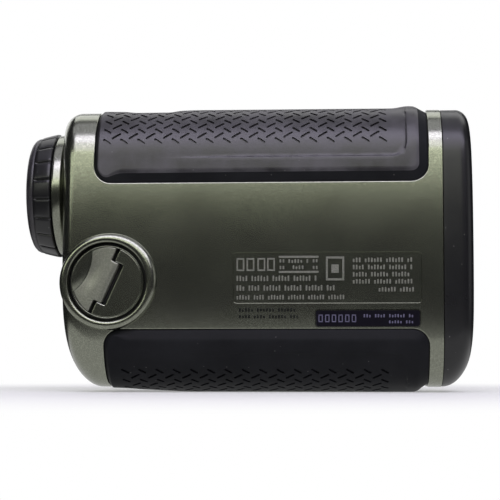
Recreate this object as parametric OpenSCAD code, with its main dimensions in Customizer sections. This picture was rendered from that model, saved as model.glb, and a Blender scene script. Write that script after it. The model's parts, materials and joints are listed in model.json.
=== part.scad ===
// Pocket laser rangefinder: a 5x24 monocular over a laser receiver, powered by one CR2 cell.
// Frame: +X along the sight line towards the objective, +Y to the left of a user who looks
// along it, +Z up. The origin is under the middle of the bounding box, on the bottom grip.
// All sizes are in millimetres.

/* [Body] */
// Rear face of the housing, from the middle of the length
rear_x = -46; // [-47:0.5:-45]
// Seam between the housing and the front bezel
seam_x = 47.2; // [46.5:0.1:48]
// Front face of the bezel
front_x = 54.5; // [54:0.1:55]
// Underside of the painted housing, above the bottom grip's flat
base_z = 1.2; // [1:0.1:1.4]
// Top of the painted housing
top_z = 69.4; // [69:0.1:69.8]
// Half the width of the housing at mid height
half_w = 19.4; // [19.2:0.1:19.6]
// Radius of the long edges
edge_r = 13; // [12:0.5:13]
// Radius of the gentle crown across each side
crown_r = 260; // [220:10:320]
// Wall thickness
wall = 2.4; // [2.2:0.1:2.6]

/* [Grips] */
// Rear end of the top grip
top_grip_x0 = -36.5; // [-37:0.5:-36]
// Rear end of the bottom grip
bottom_grip_x0 = -34; // [-34.5:0.5:-33.5]
// Front end of both grips
grip_x1 = 43.8; // [43.5:0.1:44]
// Lower edge of the top grip on each side
top_grip_z = 50.4; // [50:0.2:51]
// Upper edge of the bottom grip on each side
bottom_grip_z = 15.1; // [14.9:0.1:15.3]
// How far the rubber stands proud of the paint
grip_proud = 0.8; // [0.7:0.1:0.9]
// How far the raised rim stands proud of the paint on each side
rim_proud = 1.1; // [1:0.05:1.1]
// Depth of the seats that the grips lie in
seat_depth = 1; // [0.9:0.1:1.1]

/* [Optics] */
// Height of the sight line
sight_z = 49.4; // [49.2:0.1:49.6]
// Height of the receiver's axis
receiver_z = 22.6; // [22.4:0.1:22.7]
// Radius of the 24 mm objective with its rim
objective_r = 12.2; // [12.1:0.1:12.3]
// Radius of the receiver lens with its rim
receiver_r = 10.5; // [10.4:0.1:10.6]
// Outer radius of the dioptre ring
dioptre_r = 15.6; // [15.4:0.1:15.8]
// Number of grip notches round the dioptre ring
notch_count = 20; // [16:1:24]

/* [Battery] */
// Position of the battery axis along the body
battery_x = -33.1; // [-33.3:0.1:-32.9]
// Height of the battery axis
battery_z = 26.4; // [26.2:0.1:26.5]
// Radius of the CR2 cell
cell_r = 7.75; // [7.6:0.05:7.8]
// Radius of the battery cap
cap_r = 8.8; // [8.7:0.05:8.9]
// Turn of the cap's lift tab on its face
tab_angle = 24.4; // [20:0.2:28]

/* [Controls] */
// Position of the power button along the body
power_x = -23.6; // [-24:0.1:-23.4]
// Position of the mode button along the body
mode_x = -26.5; // [-27:0.1:-26]
// Height of the mode button
mode_z = 43.8; // [43:0.1:44]

/* [Hidden] */
$fn = 96;
eps = 0.05;          // play between neighbouring fixed parts
olive = [0.27, 0.29, 0.21];
rubber_black = [0.09, 0.09, 0.1];
mid_z = (base_z + top_z) / 2;
eye_x = -54.5;       // rear edge of the eyecup
side_proud = 20.5;   // half the overall width, at the battery boss and the mode button's ring
rear_corner_r = 5;   // radius of the housing's upper rear corner, side view
sweep_w = 10.2;      // length of the swept lower rear corner
sweep_h = 20.6;      // height of the swept lower rear corner
rear_bow_r = 95;     // radius of the housing's bowed rear face, plan view
inner_rear_x = rear_x + 2.8;
boss_r = 11.6;       // battery boss, outside
boss_bore_r = 9.5;
boss_y = -side_proud;
cap_top_y = -19.5;   // outer face of the battery cap
cap_disc = 2.3;      // thickness of the cap's head
spigot_r = 8.55;
spigot_end_y = -13.4;
tube_mouth_y = cap_top_y + cap_disc + 0.1;
tube_end_y = 16.2;
cell_end_y = 14.1;
cell_length = 27;
hinge_v = 0.05;      // hinge pin's offset across the cap
hinge_depth = 1.2;   // hinge pin's depth under the cap's face
knuckle = 5.15;      // half the tab's knuckle length
pin_r = 0.5;
spring_wire_r = 0.2;
coil_steps = 66;
screw_sites = [[-12, 65.2], [34, 65.2], [-18, 5.4], [39, 5.4]];
screw_seat_y = 10.1;  // seat of the screw heads, inside the left half
plate_x = 33;         // chassis front plate, held between ribs in both halves
plate_t = 2.8;
tripod_x = 4;
lanyard_x = -37.3;
lanyard_z = 42;

// ---------- outlines and helpers ----------

// Points of an arc from angle a0 to a1 about (cx, cy)
function arc(cx, cy, r, a0, a1, steps = 12) =
    [for (i = [0:steps]) let (a = a0 + (a1 - a0) * i / steps) [cx + r * cos(a), cy + r * sin(a)]];

// A rectangle with exact round corners, from corner to corner
module rounded_rect(x0, y0, x1, y1, r) {
    translate([x0 + r, y0]) square([x1 - x0 - 2 * r, y1 - y0]);
    translate([x0, y0 + r]) square([x1 - x0, y1 - y0 - 2 * r]);
    for (x = [x0 + r, x1 - r], y = [y0 + r, y1 - r]) translate([x, y]) circle(r);
}

// Lays a drawing in side view (x, z) and gives it thickness from y0 to y1
module side_slab(y0, y1) translate([0, y1, 0]) rotate([90, 0, 0]) linear_extrude(y1 - y0) children();

// Cylinder or cone along +X from x0 to x1 at height z
module along_x(x0, x1, r0, z, r1 = undef, y = 0)
    translate([x0, y, z]) rotate([0, 90, 0]) cylinder(h = x1 - x0, r1 = r0, r2 = is_undef(r1) ? r0 : r1);

// Cylinder along +Y from y0 to y1
module along_y(y0, y1, r, x, z) translate([x, y1, z]) rotate([90, 0, 0]) cylinder(h = y1 - y0, r = r);

// Tube along +X
module tube_x(x0, x1, r_out, r_in, z) difference() {
    along_x(x0, x1, r_out, z);
    along_x(x0 - 1, x1 + 1, r_in, z);
}

// The body's cross-section in (y, z), grown by g, and by gy at each side: crowned sides
// run tangent into the corner arcs
module section(g, gy) {
    side = is_undef(gy) ? g : gy;
    corner = edge_r + side;
    drop = top_z + g - corner - mid_z;
    corner_y = half_w - crown_r + sqrt(pow(crown_r - edge_r, 2) - drop * drop);
    band = drop * (crown_r + side) / (crown_r - edge_r);
    intersection() {
        translate([crown_r - half_w, mid_z]) circle(crown_r + side, $fn = 360);
        translate([half_w - crown_r, mid_z]) circle(crown_r + side, $fn = 360);
        translate([-half_w - 9, mid_z - band]) square([2 * half_w + 18, 2 * band]);
    }
    translate([-corner_y, base_z - g]) square([2 * corner_y, top_z - base_z + 2 * g]);
    for (y = [-1, 1], z = [-1, 1]) translate([y * corner_y, mid_z + z * drop]) circle(corner);
}

// The body's outline in (x, z), grown by g, cut square at x1
module profile(g, x1) polygon(concat(
    [[x1, base_z - g], [x1, top_z + g]],
    arc(rear_x + rear_corner_r, top_z - rear_corner_r, rear_corner_r + g, 90, 180),
    [for (i = [0:16]) let (a = 90 * i / 16)
        [rear_x + sweep_w - (sweep_w + g) * cos(a), base_z + sweep_h - (sweep_h + g) * sin(a)]]
));

// The body's outline in (x, y), grown by g, cut square at x1
module plan(g, x1) intersection() {
    rounded_rect(rear_x - g, -half_w - g, x1 + 20, half_w + g, rear_corner_r + g);
    translate([rear_x + rear_bow_r, 0]) circle(rear_bow_r + g, $fn = 256);
    translate([rear_x - 5, -half_w - 5]) square([x1 - rear_x + 5, 2 * half_w + 10]);
}

// The whole body's outer form from the rear face to x1, grown by g
module form(g, x1 = seam_x, gy = undef) intersection() {
    translate([rear_x - 5, 0, 0]) rotate([90, 0, 90]) linear_extrude(x1 - rear_x + 5) section(g, gy);
    side_slab(-half_w - 5, half_w + 5) profile(g, x1);
    translate([0, 0, base_z - 5]) linear_extrude(top_z - base_z + 10) plan(g, x1);
}

// Side view area under the top grip, shrunk by c
module top_grip_area(c = 0) rounded_rect(top_grip_x0 + c, top_grip_z + c, grip_x1 - c, 80, 4 - c);

// Side view area over the bottom grip, shrunk by c; the battery boss bites its corner
module bottom_grip_area(c = 0) difference() {
    rounded_rect(bottom_grip_x0 + c, -9, grip_x1 - c, bottom_grip_z - c, 4 - c);
    translate([battery_x, battery_z]) circle(boss_r + 0.1 + c);
}

// ---------- housing ----------

module cavity() intersection() {
    translate([inner_rear_x, 0, 0]) rotate([90, 0, 90])
        linear_extrude(seam_x - inner_rear_x + 1) section(-wall);
    side_slab(-half_w, half_w) profile(-wall, seam_x + 1);
    translate([0, 0, base_z]) linear_extrude(top_z)
        rounded_rect(inner_rear_x, wall - half_w, seam_x + 20, half_w - wall, 1);
}

module grip_seats() difference() {
    union() {
        side_slab(-half_w - 5, half_w + 5) top_grip_area();
        side_slab(-half_w - 5, half_w + 5) bottom_grip_area();
    }
    form(-seat_depth, seam_x + 1);
}

// Posts that the housing screws run through, clipped to the body's form
module screw_posts() intersection() {
    form(-seat_depth, seam_x);
    for (s = screw_sites) along_y(-half_w, half_w, 2.1, s[0], s[1]);
}

// Screw holes: thread on the right of the seam, clearance and head recess on the left
module screw_holes() for (s = screw_sites) {
    along_y(-9, 0.1, 0.85, s[0], s[1]);
    along_y(0, 20, 1.15, s[0], s[1]);
    along_y(screw_seat_y, 20, 1.95, s[0], s[1]);
}

// Pairs of ribs on each side wall that the chassis front plate slides between
module plate_ribs() for (x = [plate_x - 1.1, plate_x + plate_t + 0.1], s = [-1, 1])
    translate([x, s * 15.9 - 2, 20]) cube([1, 4, 30]);

// What both halves have in common, before the split
module shell() difference() {
    union() {
        difference() {
            form(0, seam_x - eps);
            cavity();
            grip_seats();
        }
        screw_posts();
        plate_ribs();
    }
    screw_holes();
    translate([power_x, 0, 60]) cylinder(h = 15, r = 4.3);
    along_x(rear_x - 5, inner_rear_x + 5, 15.35, sight_z);
    translate([tripod_x, 0, -1]) cylinder(h = 10, r = 4.55);
}

module battery_boss() difference() {
    translate([battery_x, -11.5, battery_z]) rotate([90, 0, 0]) rotate_extrude() {
        square([boss_r, -boss_y - 11.5 - 0.8]);
        translate([0, -boss_y - 11.5 - 1]) square([boss_r - 0.8, 1]);
        translate([boss_r - 0.8, -boss_y - 11.5 - 0.8]) circle(0.8);
    }
    along_y(boss_y - 1, 0, boss_bore_r, battery_x, battery_z);
}

// Shallow sunk panel for regulatory marks, left blank
module side_panels() difference() {
    side_slab(-half_w - 1, -half_w / 2) {
        rounded_rect(-2.7, 21.3, 41.9, 33.3, 0.8);
        rounded_rect(16.8, 15.6, 41.6, 19.6, 0.7);
    }
    form(-0.25);
}

module right_housing() color(olive) difference() {
    union() {
        intersection() {
            shell();
            translate([-60, -30, -5]) cube([120, 30, 90]);
        }
        battery_boss();
    }
    along_y(-half_w - 2, -11, boss_bore_r, battery_x, battery_z);
    side_panels();
}

module left_housing() color(olive) difference() {
    union() {
        intersection() {
            shell();
            translate([-60, 0.02, -5]) cube([120, 30, 90]);
        }
        mode_ring();
        lanyard_block();
        for (s = board_screw_sites) along_y(board_y + 1.05, half_w - wall + 0.1, 1.9, s[0], s[1]);
    }
    along_y(10, 25, 4.3, mode_x, mode_z);
    along_y(14, 16.9, 5.3, mode_x, mode_z);
    for (s = board_screw_sites) along_y(14, 16.4, 1.05, s[0], s[1]);
    lanyard_pocket();
}

// Raised ring round the mode button
module mode_ring() along_y(half_w - wall, side_proud, 6, mode_x, mode_z);

module lanyard_block() intersection() {
    translate([lanyard_x - 4.6, 13.6, lanyard_z - 4.4]) cube([9.2, 5.2, 8.8]);
    form(-0.1);
}

module lanyard_pocket() {
    side_slab(14.4, 25)
        rounded_rect(lanyard_x - 3.6, lanyard_z - 3.4, lanyard_x + 3.6, lanyard_z + 3.4, 1.5);
    translate([lanyard_x, 17.4, lanyard_z - 4.1]) cylinder(h = 8.2, r = 1.02);
}

module lanyard_bar() color("silver")
    translate([lanyard_x, 17.4, lanyard_z - 4.05]) cylinder(h = 8.1, r = 1);

module housing_screws() color("silver") for (s = screw_sites) {
    along_y(-8, screw_seat_y + 0.1, 0.8, s[0], s[1]);
    difference() {
        along_y(screw_seat_y + 0.1, screw_seat_y + 1.1, 1.8, s[0], s[1]);
        translate([s[0], screw_seat_y + 2, s[1]]) rotate([90, 0, 0]) cylinder(h = 1.4, r = 0.8, $fn = 6);
    }
}

module tripod_insert() color("goldenrod") difference() {
    union() {
        translate([tripod_x, 0, 0.7]) cylinder(h = 7.3, r = 4.5);
        translate([tripod_x, 0, base_z + wall + 0.05]) cylinder(h = 1.2, r = 6);
    }
    translate([tripod_x, 0, 0]) cylinder(h = 9, r = 2.6);
}

module serial_plate() color([0.08, 0.07, 0.14]) intersection() {
    side_slab(-half_w - 1, -half_w / 2) rounded_rect(16.9, 15.7, 41.5, 19.5, 0.6);
    difference() {
        form(-0.02);
        form(-0.22);
    }
}

// ---------- grips ----------

// Upper edge of the top grip from rear to front: finger rest, dip, button hollow, flat, rim
grip_crest = [
    [-37, 69.7], [-30.1, 69.5], [-27.6, 68.9], [-18.6, 68.95], [-17.2, 69.7], [-13.2, 70.05],
    [-0.8, 70.2], [36, 70.2], [38.2, 70.9], [39.7, 71], [41.2, 70.9], [43, 70.1], [44, 69.6]
];

module top_grip() color(rubber_black) difference() {
    intersection() {
        side_slab(-30, 30) top_grip_area(eps);
        side_slab(-30, 30) polygon(concat([[44, 40], [-37, 40]], grip_crest));
        union() {
            form(grip_proud);
            intersection() {
                form(rim_proud);
                translate([-16, -30, 53.4]) cube([58.5, 60, 3]);
            }
            intersection() {
                form(1.6, gy = rim_proud);
                translate([37.6, -30, 53.4]) cube([4.9, 60, 30]);
            }
        }
    }
    form(eps - seat_depth, seam_x + 1);
    translate([power_x, 0, 60]) cylinder(h = 20, r = 4.35);
}

// Lower edge of the bottom grip from rear to front: it stands on its long flat
grip_keel = [[-35, 1.35], [-26, 0.55], [-15, 0], [41, 0], [42.8, 0.6], [44, 1.6]];

module bottom_grip() color(rubber_black) difference() {
    intersection() {
        side_slab(-30, 30) bottom_grip_area(eps);
        side_slab(-30, 30) polygon(concat(grip_keel, [[44, 20], [-35, 20]]));
        union() {
            form(grip_proud);
            intersection() {
                form(base_z);
                translate([-40, -30, -5]) cube([90, 60, 8]);
            }
        }
    }
    form(eps - seat_depth, seam_x + 1);
    translate([tripod_x, 0, -1]) cylinder(h = 10, r = 5.2);
}

// ---------- front bezel ----------

bezel_inset = 0.1;   // the bezel is a hair smaller than the painted housing
bezel_wall_x = 50.6; // back of the bezel's front wall
nose_w = 7.2;        // length of the bezel's swept lower corner
nose_h = 9.2;        // height of the bezel's swept lower corner

// Side view of the bezel: rounded at the top, swept up at the bottom
module bezel_profile() polygon(concat(
    [[seam_x, top_z - bezel_inset]],
    arc(front_x - 3, top_z - bezel_inset - 3, 3, 90, 0),
    [for (i = [0:12]) let (a = 90 * i / 12)
        [front_x - nose_w + nose_w * cos(a), base_z + bezel_inset + nose_h * (1 - sin(a))]],
    [[seam_x, base_z + bezel_inset]]
));

module bezel_form() intersection() {
    translate([seam_x, 0, 0]) rotate([90, 0, 90]) linear_extrude(front_x - seam_x) section(-bezel_inset);
    side_slab(-half_w, half_w) bezel_profile();
    linear_extrude(80) rounded_rect(0, bezel_inset - half_w, front_x, half_w - bezel_inset, 2.5);
}

// The spigot that enters the housing's open front
module bezel_spigot() intersection() {
    translate([seam_x - 2.4, 0, 0]) rotate([90, 0, 90]) linear_extrude(2.5) section(-wall - 0.1);
    side_slab(-half_w, half_w) profile(-wall - 0.1, seam_x + 1);
}

module front_bezel() color(rubber_black) difference() {
    union() {
        bezel_form();
        bezel_spigot();
    }
    translate([seam_x - 1.7, 0, 0]) rotate([90, 0, 90]) linear_extrude(1.2) difference() {
        section(0);
        section(-wall - 1);
    }
    intersection() {
        translate([seam_x - 5, 0, 0]) rotate([90, 0, 90])
            linear_extrude(bezel_wall_x - seam_x + 5) section(-wall - 2);
        side_slab(-half_w, half_w) {
            rounded_rect(20, base_z + 4.4, bezel_wall_x - 1.5, top_z - 4.4, 2);
            rounded_rect(20, base_z + 7, bezel_wall_x, top_z - 4.4, 2);
        }
    }
    along_x(bezel_wall_x - 1, front_x + 0.01, 12, sight_z, 13.3);
    along_x(bezel_wall_x - 1, front_x + 0.01, 10.2, receiver_z, 11);
}

// Flat gasket in the groove round the bezel's spigot
module bezel_gasket() color([0.15, 0.15, 0.15]) translate([seam_x - 1.65, 0, 0]) rotate([90, 0, 90])
    linear_extrude(1.1) difference() {
        section(-wall - 0.05);
        section(-wall - 0.95);
    }

// ---------- eyepiece ----------

module eyepiece_collar() color(olive) difference() {
    union() {
        along_x(-47.9, inner_rear_x + 0.1, 15.3, sight_z);
        along_x(inner_rear_x + eps, inner_rear_x + 1.3, 16.2, sight_z);
    }
    along_x(-49, -40, 12.25, sight_z);
}

module ocular_sleeve() color([0.12, 0.12, 0.12]) difference() {
    union() {
        along_x(-51.3, -30, 12.2, sight_z);
        along_x(-41.8, -40.6, 13.4, sight_z);
    }
    along_x(-52, -29, 11.15, sight_z);
}

// The ring is fixed to the cell behind the sleeve and runs over the sleeve's outside
module dioptre_ring() color(rubber_black) difference() {
    union() {
        along_x(-53.1, -52.2, 12.5, sight_z);
        along_x(-52.3, -51.2, 14.7, sight_z, 15);
        along_x(-51.2, -48.1, 15, sight_z, dioptre_r);
    }
    along_x(-55, -40, 11.1, sight_z);
    along_x(-51.6, -40, 12.28, sight_z);
    for (i = [0:notch_count - 1]) translate([-51.4, 0, sight_z]) rotate([i * 360 / notch_count + 9, 0, 0])
        translate([0, -0.25, 14.75]) cube([4, 0.5, 2]);
}

module eyecup() color(rubber_black) translate([eye_x, 0, sight_z]) rotate([0, 90, 0])
    rotate_extrude() difference() {
        union() {
            translate([9.4, 1.2]) square([5.2, 0.95]);
            translate([10.6, 0]) square([2.8, 1.5]);
            translate([10.6, 1.2]) circle(1.2);
            translate([13.4, 1.2]) circle(1.2);
        }
        translate([0, 2.15]) square([20, 5]);
        translate([0, 1.35]) square([12.55, 5]);
    }

module ocular_cell() color([0.12, 0.12, 0.12]) difference() {
    along_x(-52.9, -33, 11.07, sight_z);
    along_x(-54, -32, 9, sight_z);
    along_x(-54, -46.95, 9.95, sight_z);
    along_x(-40.1, -32, 9.95, sight_z);
}

// A lens of edge thickness t from x0, crowned on both sides by radii of curvature c0 and c1
module lens(x0, t, r, z, c0, c1) translate([x0, 0, z]) rotate([0, 90, 0])
    rotate_extrude() intersection() {
        translate([0, -3]) square([r, t + 6]);
        translate([0, sqrt(c0 * c0 - r * r)]) circle(c0, $fn = 720);
        translate([0, t - sqrt(c1 * c1 - r * r)]) circle(c1, $fn = 720);
    }

module ocular_eye_lens() color([0.6, 0.75, 0.7, 0.5]) lens(-49.3, 2, 9.9, sight_z, 90, 40);
module ocular_field_lens() color([0.6, 0.75, 0.7, 0.5]) lens(-39.5, 1.6, 9.9, sight_z, 45, 60);
module ocular_retainer() color([0.12, 0.12, 0.12]) tube_x(-36.4, -34.9, 9.9, 8.8, sight_z);

// ---------- objective and receiver ----------

// A lens cell with a seat ring for its lens at seat_x
module front_cell(x0, r, seat_x, z) color([0.12, 0.12, 0.12]) difference() {
    along_x(x0, bezel_wall_x - 0.2, r + 1.2, z);
    along_x(x0 - 1, front_x, r - 1, z);
    along_x(seat_x, front_x, r + eps, z);
    along_x(x0 - 1, seat_x - 1, r + eps, z);
}

module objective_cell() front_cell(35.9, objective_r, 42.5, sight_z);
module receiver_cell() front_cell(35.9, receiver_r, 43.5, receiver_z);
module objective_lens() color([0.45, 0.35, 0.6, 0.5]) lens(43.6, 2.2, objective_r, sight_z, 70, 55);
module receiver_lens() color([0.5, 0.2, 0.2, 0.6]) lens(44.6, 1.8, receiver_r, receiver_z, 70, 40);
module objective_retainer() color([0.12, 0.12, 0.12])
    tube_x(47.5, 48.9, objective_r, objective_r - 1, sight_z);
module receiver_retainer() color([0.12, 0.12, 0.12])
    tube_x(48.2, 49.5, receiver_r, receiver_r - 1, receiver_z);

// ---------- optical bench ----------

module optics_chassis() color([0.3, 0.3, 0.32]) difference() {
    union() {
        translate([plate_x, -13.4, 8]) cube([plate_t, 26.8, 54.8]);
        translate([plate_x, -16.5, 21]) cube([plate_t, 33, 28]);
        translate([-21.5, -13.4, 33]) cube([plate_x + 21.6, 26.8, 1.6]);
        translate([-21.5, -12, 34.5]) cube([1.5, 24, 27.6]);
        translate([-17.5, -10, 34.5]) cube([30, 20, 4.8]);
        for (s = [-1, 1]) translate([-4, s * 11.35 - 0.75, 34.5]) cube([4, 1.5, 27]);
    }
    along_x(30, 40, 11, sight_z);
    along_x(30, 40, 9.4, receiver_z);
    along_x(-25, -19, 8, sight_z);
}

module half_penta_prism() color([0.7, 0.8, 0.85, 0.5]) side_slab(-10, 10)
    polygon([[12, 39.4], [12, 59.4], [1, 55], [-7.5, 39.4]]);

module roof_prism() color([0.7, 0.8, 0.85, 0.5]) side_slab(-10, 10)
    polygon([[-9.2, 39.4], [-0.7, 55], [-17, 59.4], [-17, 39.4]]);

// Spring steel strap that holds the prisms on their saddle
module prism_clip() color("silver") difference() {
    translate([8, -10.6, 34.7]) cube([3.9, 21.2, 25.3]);
    translate([7, -10.1, 34]) cube([6, 20.2, 25.5]);
}

module display_lcd() color([0.2, 0.22, 0.24, 0.8])
    translate([-23.2, -7, sight_z - 6.5]) cube([1.6, 14, 13]);

// ---------- electronics ----------

board_y = 13.6;      // inner face of the main board

module main_board() color("darkgreen") difference() {
    side_slab(board_y, board_y + 1) union() {
        translate([-20, 11]) square([51, 49]);
        translate([-32, 40]) square([13, 16]);
    }
    for (s = board_screw_sites) along_y(10, 20, 1.1, s[0], s[1]);
}

board_screw_sites = [[-17, 14], [28, 14], [28, 57]];

module board_screws() color("silver") for (s = board_screw_sites) {
    along_y(board_y - 1.1, board_y - eps, 1.7, s[0], s[1]);
    along_y(board_y - eps, board_y + 1.4, 1, s[0], s[1]);
}

// Processor, timing chip and high voltage coil on the main board
module board_chips() color([0.1, 0.1, 0.1]) {
    translate([-4, board_y - 1.3, 20]) cube([10, 1.25, 10]);
    translate([12, board_y - 1.1, 16]) cube([7, 1.05, 7]);
    along_y(board_y - 2.6, board_y - eps, 3, 22, 26);
}

module display_flex() color("orange") {
    translate([-23.3, 7.2, 49]) cube([0.2, board_y - 7.3, 3]);
    translate([-23.3, board_y - 0.25, 49]) cube([3, 0.2, 3]);
}

module laser_board() color("darkgreen") translate([-6, -12, 61.6]) cube([16, 24, 1]);
module laser_diode() color("gold") translate([3, 0, 61.55]) mirror([0, 0, 1]) {
    cylinder(h = 1, r = 2.8);
    cylinder(h = 3, r = 2.3);
}
module detector_board() color("darkgreen") translate([2, -10, 11]) cube([1, 20, 21.9]);
module detector_can() color("silver") {
    along_x(3.05, 4.2, 4.6, receiver_z);
    along_x(4.2, 7, 4.1, receiver_z);
}

module switch_board() color("darkgreen") translate([power_x - 6, -6, 62.2]) cube([12, 12, 1]);
module power_switch() color("silver") translate([power_x, 0, 63.25]) {
    translate([-3, -3, 0]) cube([6, 6, 1.4]);
    cylinder(h = 1.85, r = 1.6);
}
module mode_switch() color("silver") {
    translate([mode_x - 3, board_y + 1.05, mode_z - 3]) cube([6, 0.7, 6]);
    along_y(board_y + 1.05, board_y + 2.1, 1.6, mode_x, mode_z);
}

// ---------- controls ----------

module power_button() color(rubber_black) translate([power_x, 0, 0]) {
    translate([0, 0, 66]) cylinder(h = 0.8, r = 5);
    translate([0, 0, 66]) cylinder(h = 3.1, r = 4);
    intersection() {
        translate([0, 0, 69.1]) cylinder(h = 0.6, r = 4);
        translate([0, 0, 69.6 - 18]) sphere(18);
    }
}

module mode_button() color(rubber_black) {
    along_y(16.35, 16.75, 5, mode_x, mode_z);
    along_y(16.7, 20, 4, mode_x, mode_z);
    intersection() {
        along_y(20, 20.5, 4, mode_x, mode_z);
        translate([mode_x, 20.4 - 18, mode_z]) sphere(18);
    }
}

// ---------- battery compartment ----------

module battery_tube() color([0.2, 0.2, 0.22]) difference() {
    along_y(tube_mouth_y, tube_end_y, boss_bore_r - 0.1, battery_x, battery_z);
    along_y(tube_mouth_y - 1, spigot_end_y + 0.7, spigot_r + 0.08, battery_x, battery_z);
    along_y(spigot_end_y, tube_end_y - 0.7, cell_r + 0.35, battery_x, battery_z);
}

// Point k of n along the spring's conical coil, at angle a round the wire
function coil_point(k, n, a) = let (
    t = k / n, turn = 990 * t,
    r = 4.9 - 2.7 * t + spring_wire_r * cos(a),
    h = 0.25 + 0.9 * t + spring_wire_r * sin(a)
) [r * cos(turn), r * sin(turn), h];

// Negative contact: a conical coil, pressed to its working height
module battery_spring() color("silver")
    translate([battery_x, tube_end_y - 0.7, battery_z]) rotate([90, 0, 0]) polyhedron(
        points = [for (k = [0:coil_steps], i = [0:7]) coil_point(k, coil_steps, i * 45)],
        faces = concat(
            [[for (i = [0:7]) i]],
            [for (k = [0:coil_steps - 1], i = [0:7])
                [k * 8 + i, k * 8 + 8 + i, k * 8 + 8 + (i + 1) % 8, k * 8 + (i + 1) % 8]],
            [[for (i = [7:-1:0]) coil_steps * 8 + i]]
        )
    );

module battery() color([0.75, 0.7, 0.3]) {
    along_y(cell_end_y - cell_length + 0.8, cell_end_y, cell_r, battery_x, battery_z);
    along_y(cell_end_y - cell_length, cell_end_y - 20, 3, battery_x, battery_z);
}

// Positive contact: a plate on a rivet that lets the cap turn over it
module cap_contact() color("goldenrod") {
    along_y(spigot_end_y + 0.05, spigot_end_y + 0.5, 6, battery_x, battery_z);
    along_y(spigot_end_y - 2, spigot_end_y + 0.1, 1.5, battery_x, battery_z);
}

// Puts a drawing of the cap's face, with v across the hinge and u along it, onto the cap.
// Children stand on the face's plane and reach towards the inside of the body.
module on_cap() translate([battery_x, cap_top_y, battery_z])
    rotate([0, tab_angle, 0]) rotate([-90, 0, 0]) mirror([0, 1, 0]) children();

// A round bar of radius r and the given length on the hinge line
module on_hinge(r, length) on_cap() translate([hinge_v, 0, hinge_depth])
    rotate([90, 0, 0]) cylinder(h = length, r = r, center = true);

// The tab's outline on the cap's face, grown by g
module tab_outline(g) difference() {
    intersection() {
        circle(cap_r - 0.35 + g);
        union() {
            translate([-12, -12]) square([12 - 1.25 + g, 24]);
            translate([-4, -knuckle - g]) square([4 + 0.9 + g, 2 * (knuckle + g)]);
        }
    }
    translate([-16.6, 0]) circle(11.4 - g);
}

module battery_cap() color(olive) difference() {
    union() {
        along_y(cap_top_y, cap_top_y + cap_disc, cap_r, battery_x, battery_z);
        along_y(cap_top_y, spigot_end_y, spigot_r, battery_x, battery_z);
    }
    on_cap() translate([0, 0, -0.5]) {
        linear_extrude(0.5 + 1.9) intersection() {
            circle(cap_r - 0.3);
            translate([-12, -12]) square([12 - 1, 24]);
        }
        translate([-2, -knuckle - 0.15, 0]) cube([2 + 1.9, 2 * knuckle + 0.3, 0.5 + 2.8]);
    }
    on_cap() rotate([90, 0, 0]) linear_extrude(24, center = true)
        polygon([[-1.2, 0.6], [-1.2, -0.5], [-0.2, -0.5], [-0.45, 0]]);
    on_hinge(pin_r + 0.01, 15.2);
    along_y(spigot_end_y - 2.2, spigot_end_y + 1, 1.6, battery_x, battery_z);
    ring_on_cap() translate([7.3, 15.5]) square([2, 1.3]);
}

// Turns a drawing in (radius, distance from the body's middle) round the battery's axis
module ring_on_cap() translate([battery_x, 0, battery_z]) rotate([90, 0, 0])
    rotate_extrude() children();

module cap_oring() color([0.1, 0.1, 0.1]) ring_on_cap() translate([7.97, 16.15]) circle(0.6);

module cap_hinge_pin() color("silver") on_hinge(pin_r, 15);

module cap_tab() color(olive) difference() {
    union() {
        on_cap() linear_extrude(1.7) tab_outline(0);
        on_hinge(0.9, 2 * knuckle);
    }
    on_hinge(pin_r + 0.06, 30);
}

// ---------- draw ----------

right_housing();
left_housing();
front_bezel();
bezel_gasket();
top_grip();
bottom_grip();
serial_plate();
tripod_insert();
housing_screws();
lanyard_bar();
eyepiece_collar();
ocular_sleeve();
dioptre_ring();
eyecup();
ocular_cell();
ocular_eye_lens();
ocular_field_lens();
ocular_retainer();
objective_cell();
objective_lens();
objective_retainer();
receiver_cell();
receiver_lens();
receiver_retainer();
optics_chassis();
half_penta_prism();
roof_prism();
prism_clip();
display_lcd();
main_board();
board_chips();
board_screws();
display_flex();
laser_board();
laser_diode();
detector_board();
detector_can();
switch_board();
power_switch();
mode_switch();
power_button();
mode_button();
battery_tube();
battery_spring();
battery();
cap_contact();
battery_cap();
cap_oring();
cap_hinge_pin();
cap_tab();
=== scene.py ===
"""Pocket laser rangefinder: visible surfaces, materials, light and camera.

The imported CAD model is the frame. Sizes below are in millimetres and are turned into metres
when a mesh is made. Side view coordinates are (x, z); the skin of the body is drawn in
(u, s), where u runs along the body and s runs round half of its cross-section.
"""
import bpy
import bmesh
import math
import json
import numpy as np
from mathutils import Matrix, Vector, geometry


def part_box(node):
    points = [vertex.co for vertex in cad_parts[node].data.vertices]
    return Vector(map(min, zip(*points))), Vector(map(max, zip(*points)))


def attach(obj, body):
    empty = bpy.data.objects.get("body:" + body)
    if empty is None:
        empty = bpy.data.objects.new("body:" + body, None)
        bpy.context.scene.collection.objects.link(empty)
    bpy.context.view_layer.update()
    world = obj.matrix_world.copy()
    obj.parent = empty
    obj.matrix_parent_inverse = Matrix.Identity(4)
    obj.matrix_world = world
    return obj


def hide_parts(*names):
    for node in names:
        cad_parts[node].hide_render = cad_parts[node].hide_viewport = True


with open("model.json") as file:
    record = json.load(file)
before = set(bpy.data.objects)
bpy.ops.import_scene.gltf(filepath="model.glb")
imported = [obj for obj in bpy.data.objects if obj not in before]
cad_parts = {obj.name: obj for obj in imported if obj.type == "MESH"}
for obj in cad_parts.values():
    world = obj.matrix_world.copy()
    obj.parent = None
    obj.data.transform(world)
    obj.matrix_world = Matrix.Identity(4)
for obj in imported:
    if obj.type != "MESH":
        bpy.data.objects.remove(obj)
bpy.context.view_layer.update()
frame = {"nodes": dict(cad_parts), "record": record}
MM = 0.001


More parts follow.
